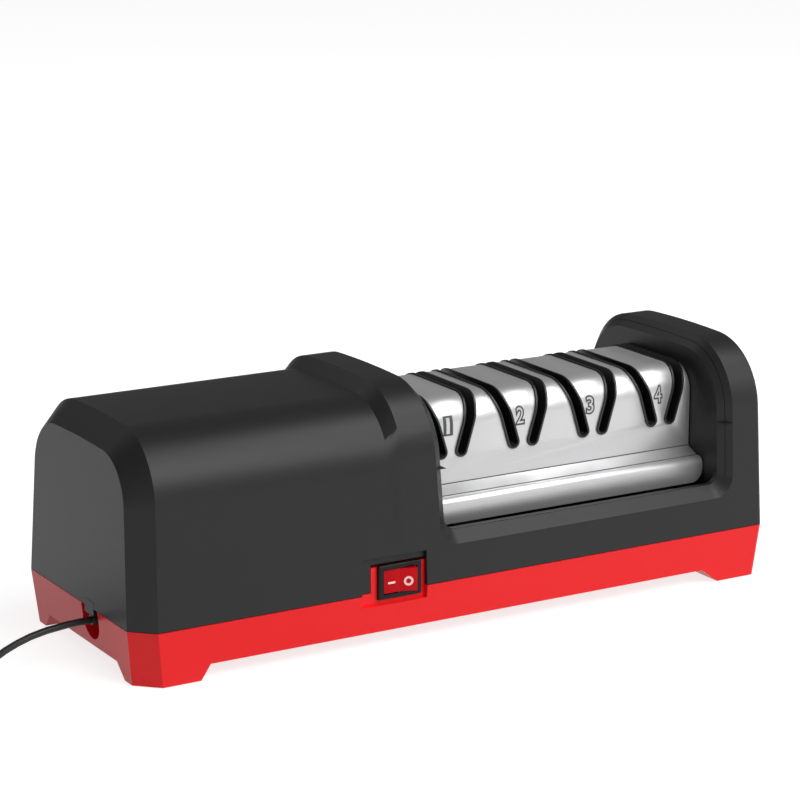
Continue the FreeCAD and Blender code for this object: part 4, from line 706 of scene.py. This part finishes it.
@dataclass
class BladeGuide:
    """The folded steel cover, the black guide that lines its slots, and the printed numbers."""

    face_y: float = -30.0 * MM
    fold_start_z: float = 84.0 * MM
    ledge_inner_y: float = 29.9 * MM
    ledge_outer_y: float = 36.9 * MM
    ledge_high_z: float = 58.65 * MM
    ledge_low_z: float = 55.45 * MM
    fold_radius: float = 12.5 * MM
    first_stage_x: float = 7.65 * MM
    stage_pitch: float = 37.3 * MM
    number_height: float = 8.8 * MM
    number_width: float = 4.9 * MM
    number_z: float = 84.6 * MM
    bolder: float = 0.035
    line_depth: float = 0.04
    number_shift: float = -1.6 * MM
    long_line: float = 0.15
    line_cuts: int = 10
    print_lift: float = 0.06 * MM
    print_depth: float = 1.2 * MM
    groove_width: float = 0.6 * MM
    sheet_edge_mm: float = 0.18
    slot_edge_mm: float = 0.2

    def surface_y(self, z: float) -> float:
        """Y of the cover's front at a height, on the flat face or on the fold."""
        above = min(max(z - self.fold_start_z, 0.0), self.fold_radius)
        return self.face_y + self.fold_radius - math.sqrt(self.fold_radius ** 2 - above ** 2)

    def number(self, digit: int) -> bpy.types.Object:
        """One outlined number, wrapped on the cover's front.

        Args:
            digit: the stage's number, from one.

        Returns:
            The number's mesh object.
        """
        data = bpy.data.curves.new(f"stage_number_{digit}", "FONT")
        data.body = str(digit)
        data.fill_mode = "NONE"
        data.offset = self.bolder
        data.bevel_depth = self.line_depth
        data.bevel_resolution = 1
        text = bpy.data.objects.new(f"text_{digit}", data)
        bpy.context.scene.collection.objects.link(text)
        bpy.context.view_layer.update()
        mesh = bpy.data.meshes.new_from_object(text)
        bpy.data.objects.remove(text)
        shape = bmesh.new()
        shape.from_mesh(mesh)
        straight = [edge for edge in shape.edges if edge.calc_length() > self.long_line]
        bmesh.ops.subdivide_edges(shape, edges=straight, cuts=self.line_cuts, use_grid_fill=True)
        low_x, high_x = min(v.co.x for v in shape.verts), max(v.co.x for v in shape.verts)
        low_y, high_y = min(v.co.y for v in shape.verts), max(v.co.y for v in shape.verts)
        middle_x = self.first_stage_x + self.number_shift + (digit - 1) * self.stage_pitch
        for vert in shape.verts:
            across = (vert.co.x - low_x) / (high_x - low_x) - 0.5
            up = (vert.co.y - low_y) / (high_y - low_y) - 0.5
            z = self.number_z + up * self.number_height
            y = self.surface_y(z) - self.print_lift - vert.co.z * self.print_depth
            vert.co = (middle_x + across * self.number_width, y, z)
        bmesh.ops.recalc_face_normals(shape, faces=shape.faces)
        return finish_piece(object_from(shape, f"stage_number_{digit}"), "root", GREY_INK_AND_GROOVE_SHADE)

    def grooves(self) -> None:
        """The two thin dark lines along each ledge: painted shade of its grooves, drawn as dark strips on the
        sheet.
        """
        low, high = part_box("guide_cover")
        shape = bmesh.new()
        for side in (-1, 1):
            for y, z in ((self.ledge_inner_y, self.ledge_high_z), (self.ledge_outer_y, self.ledge_low_z)):
                size = (high.x - low.x - 1.0 * MM, self.groove_width, self.groove_width)
                middle = Matrix.Translation(((low.x + high.x) / 2, side * y, z))
                place = middle @ Matrix.Diagonal((*size, 1.0))
                bmesh.ops.create_cube(shape, size=1.0, matrix=place)
        # Dark grey strips where the grooves are: painted shade.
        finish_piece(object_from(shape, "painted_ledge_groove_shade"), "root", GREY_INK_AND_GROOVE_SHADE)

    def build(self) -> None:
        """Make the cover, the guide and the numbers."""
        cover = merged_copy("guide_cover")
        soften(cover, self.sheet_edge_mm)
        # Outward faces of the ledge and the skirt get the second slot, the paler sheet with painted
        # reflection.
        for face in cover.faces:
            middle = face.calc_center_median()
            outward = face.normal.z > 0.5 or face.normal.y * middle.y > 0.5 * abs(middle.y)
            low = middle.z < self.ledge_high_z and abs(middle.y) > self.ledge_inner_y
            face.material_index = 1 if low and outward else 0
        piece = finish_piece(object_from(cover, "steel_cover"), "root", BRUSHED_STAINLESS, "guide_cover")
        piece.data.materials.append(SATIN_AND_PAINTED_REFLECTION_SHEET.material())
        self.grooves()
        guide = merged_copy("slot_guide")
        soften(guide, self.slot_edge_mm)
        finish_piece(object_from(guide, "blade_channels"), "root", BLACK_NYLON, "slot_guide")
        for digit in range(1, 5):
            self.number(digit)


@dataclass
class PowerSwitch:
    """Snap-in rocker switch: bezel, rocker and its two marks."""

    pivot: tuple[float, float, float] = (-0.0343, -0.0562, 0.0287)
    face_drop: float = 1.0 * MM
    throw_deg: float = 10.0
    mark_offset: float = 3.9 * MM
    dash_size: tuple[float, float] = (3.6 * MM, 0.9 * MM)
    dash_corner: float = 0.3 * MM
    ring_radius: float = 1.6 * MM
    ring_width: float = 0.95 * MM
    ring_steps: int = 40
    mark_proud: float = 0.06 * MM
    mark_drop: float = 0.65 * MM
    bezel_edge_mm: float = 0.25
    rocker_edge_mm: float = 0.45

    def mark_place(self, side: int) -> Matrix:
        """Where a mark lies on the rocker at rest: on its left (-1) or right (1) half."""
        lean = Matrix.Rotation(math.radians(-side * self.throw_deg), 4, "Z")
        rest = Matrix.Rotation(math.radians(-self.throw_deg), 4, "Z")
        drop = Matrix.Translation((0.0, -self.face_drop, 0.0))
        along = Matrix.Translation((side * self.mark_offset, 0.0, -self.mark_drop))
        return Matrix.Translation(self.pivot) @ rest @ drop @ lean @ along

    def build(self) -> None:
        """Make the switch's pieces."""
        body = merged_copy("switch_body")
        soften(body, self.bezel_edge_mm)
        finish_piece(object_from(body, "switch_bezel"), "root", SWITCH_BLACK, "switch_body")
        rocker = merged_copy("rocker")
        soften(rocker, self.rocker_edge_mm, 3, over_deg=15.0)
        finish_piece(object_from(rocker, "rocker_key"), "rocker", ROCKER_RED, "rocker")
        dash = bmesh.new()
        size = (self.dash_size[0], self.mark_proud * 2, self.dash_size[1])
        bmesh.ops.create_cube(dash, size=1.0, matrix=Matrix.Diagonal((*size, 1.0)))
        ends = [edge for edge in dash.edges if edge.calc_length() < self.dash_corner]
        bmesh.ops.bevel(
            dash, geom=ends, offset=self.dash_corner, offset_type="OFFSET", segments=3, profile=0.5,
            affect="EDGES", material=-1,
        )
        bmesh.ops.transform(dash, matrix=self.mark_place(-1), verts=dash.verts)
        finish_piece(object_from(dash, "rocker_dash"), "rocker", MARK_WHITE)
        ring = bmesh.new()
        inner = self.ring_radius - self.ring_width / 2
        outer = self.ring_radius + self.ring_width / 2
        corners = [ring.verts.new((r, y, 0.0)) for r, y in (
            (inner, 0.0), (outer, 0.0), (outer, -self.mark_proud), (inner, -self.mark_proud)
        )]
        face = ring.faces.new(corners)
        bmesh.ops.spin(
            ring, geom=[face, *face.edges, *face.verts], cent=(0.0, 0.0, 0.0), axis=(0.0, 1.0, 0.0),
            angle=2 * math.pi, steps=self.ring_steps, use_merge=True,
        )
        bmesh.ops.remove_doubles(ring, verts=ring.verts, dist=0.001 * MM)
        bmesh.ops.recalc_face_normals(ring, faces=ring.faces)
        bmesh.ops.transform(ring, matrix=self.mark_place(1), verts=ring.verts)
        finish_piece(object_from(ring, "rocker_ring"), "rocker", MARK_WHITE)
        dress("switch_terminals", NICKEL_PLATE)
        dress("rocker_pin", TURNED_STEEL)


@dataclass
class Drive:
    """Motor, coupling, shaft, bearings, discs and their springs."""

    stages: tuple[str, ...] = ("coarse", "medium", "fine", "polish")
    # A little over the joint's 1 mm.
    slide_travel: float = 1.05 * MM

    def spring_half(self, stage: str, side: str, sign: int) -> None:
        """Half of a stage's spring, cut at its middle and carried by the spindle at its rest length; on the
        real sharpener the spring shortens as the disc on its side slides in.

        Args:
            stage: the stage's name.
            side: left or right.
            sign: minus one for the left half, one for the right half.
        """
        node = f"{stage}_spring"
        low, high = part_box(node)
        middle = (low + high) / 2
        half = merged_copy(node)
        bmesh.ops.bisect_plane(
            half, geom=[*half.verts, *half.edges, *half.faces], plane_co=middle, plane_no=(-sign, 0.0, 0.0),
            clear_outer=True,
        )
        bmesh.ops.holes_fill(half, edges=[edge for edge in half.edges if edge.is_boundary], sides=0)
        piece = finish_piece(object_from(half, f"{stage}_coil_{side}"), "spindle", TURNED_STEEL, node)
        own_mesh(piece)

    def build(self) -> None:
        """Dress the drive's nodes."""
        finishes = {
            TURNED_STEEL: (
                "grinding_shaft", "spacer_sleeves", "motor_shaft", "armature_core", "shaft_coupling",
                "motor_can",
            ),
            ZINC_STEEL: ("shaft_clips", "coupling_screws", "motor_bracket", "motor_screws", "motor_strap"),
            BLACK_NYLON: ("bearing_block_left", "bearing_block_right", "motor_end_cap", "motor_saddle"),
            SINTERED_BRONZE: ("shaft_bushes", "motor_bushes"),
            COPPER: ("armature_winding", "commutator", "motor_terminals"),
            FERRITE: ("motor_magnets",),
            CARBON: ("motor_brushes",),
        }
        for finish, nodes in finishes.items():
            for node in nodes:
                dress(node, finish)
        for stage in self.stages:
            for side, sign in (("left", -1), ("right", 1)):
                self.spring_half(stage, side, sign)
                node = f"{stage}_disc_{side}"
                disc = merged_copy(node)
                finish_piece(object_from(disc, f"{stage}_wheel_{side}"), node, GRIT_FINISHES[stage], node)


@dataclass
class Wiring:
    """The lead's inner end, its grommet and clamp, and the inner wires."""

    def build(self) -> None:
        """Dress the wiring's nodes."""
        for node, finish in (
            ("cord_grommet", LEAD_VINYL),
            ("lead_inner", LEAD_VINYL),
            ("cord_clamp", BLACK_NYLON),
            ("wire_feed", WIRE_RED),
            ("wire_link", WIRE_RED),
            ("wire_return", WIRE_BLACK),
        ):
            dress(node, finish)


def main() -> None:
    """Build the camera and the lead, then the body from the outside in."""
    logging.basicConfig(level=logging.INFO, format="%(name)s: %(message)s")
    PhotoView().place()
    Lead().build()
    Studio().build()
    builders: Iterable[Any] = (Casing(), BladeGuide(), PowerSwitch(), Drive(), Wiring())
    for builder in builders:
        builder.build()
        LOG.info("built %s", type(builder).__name__)


if __name__ == "__main__":
    main()
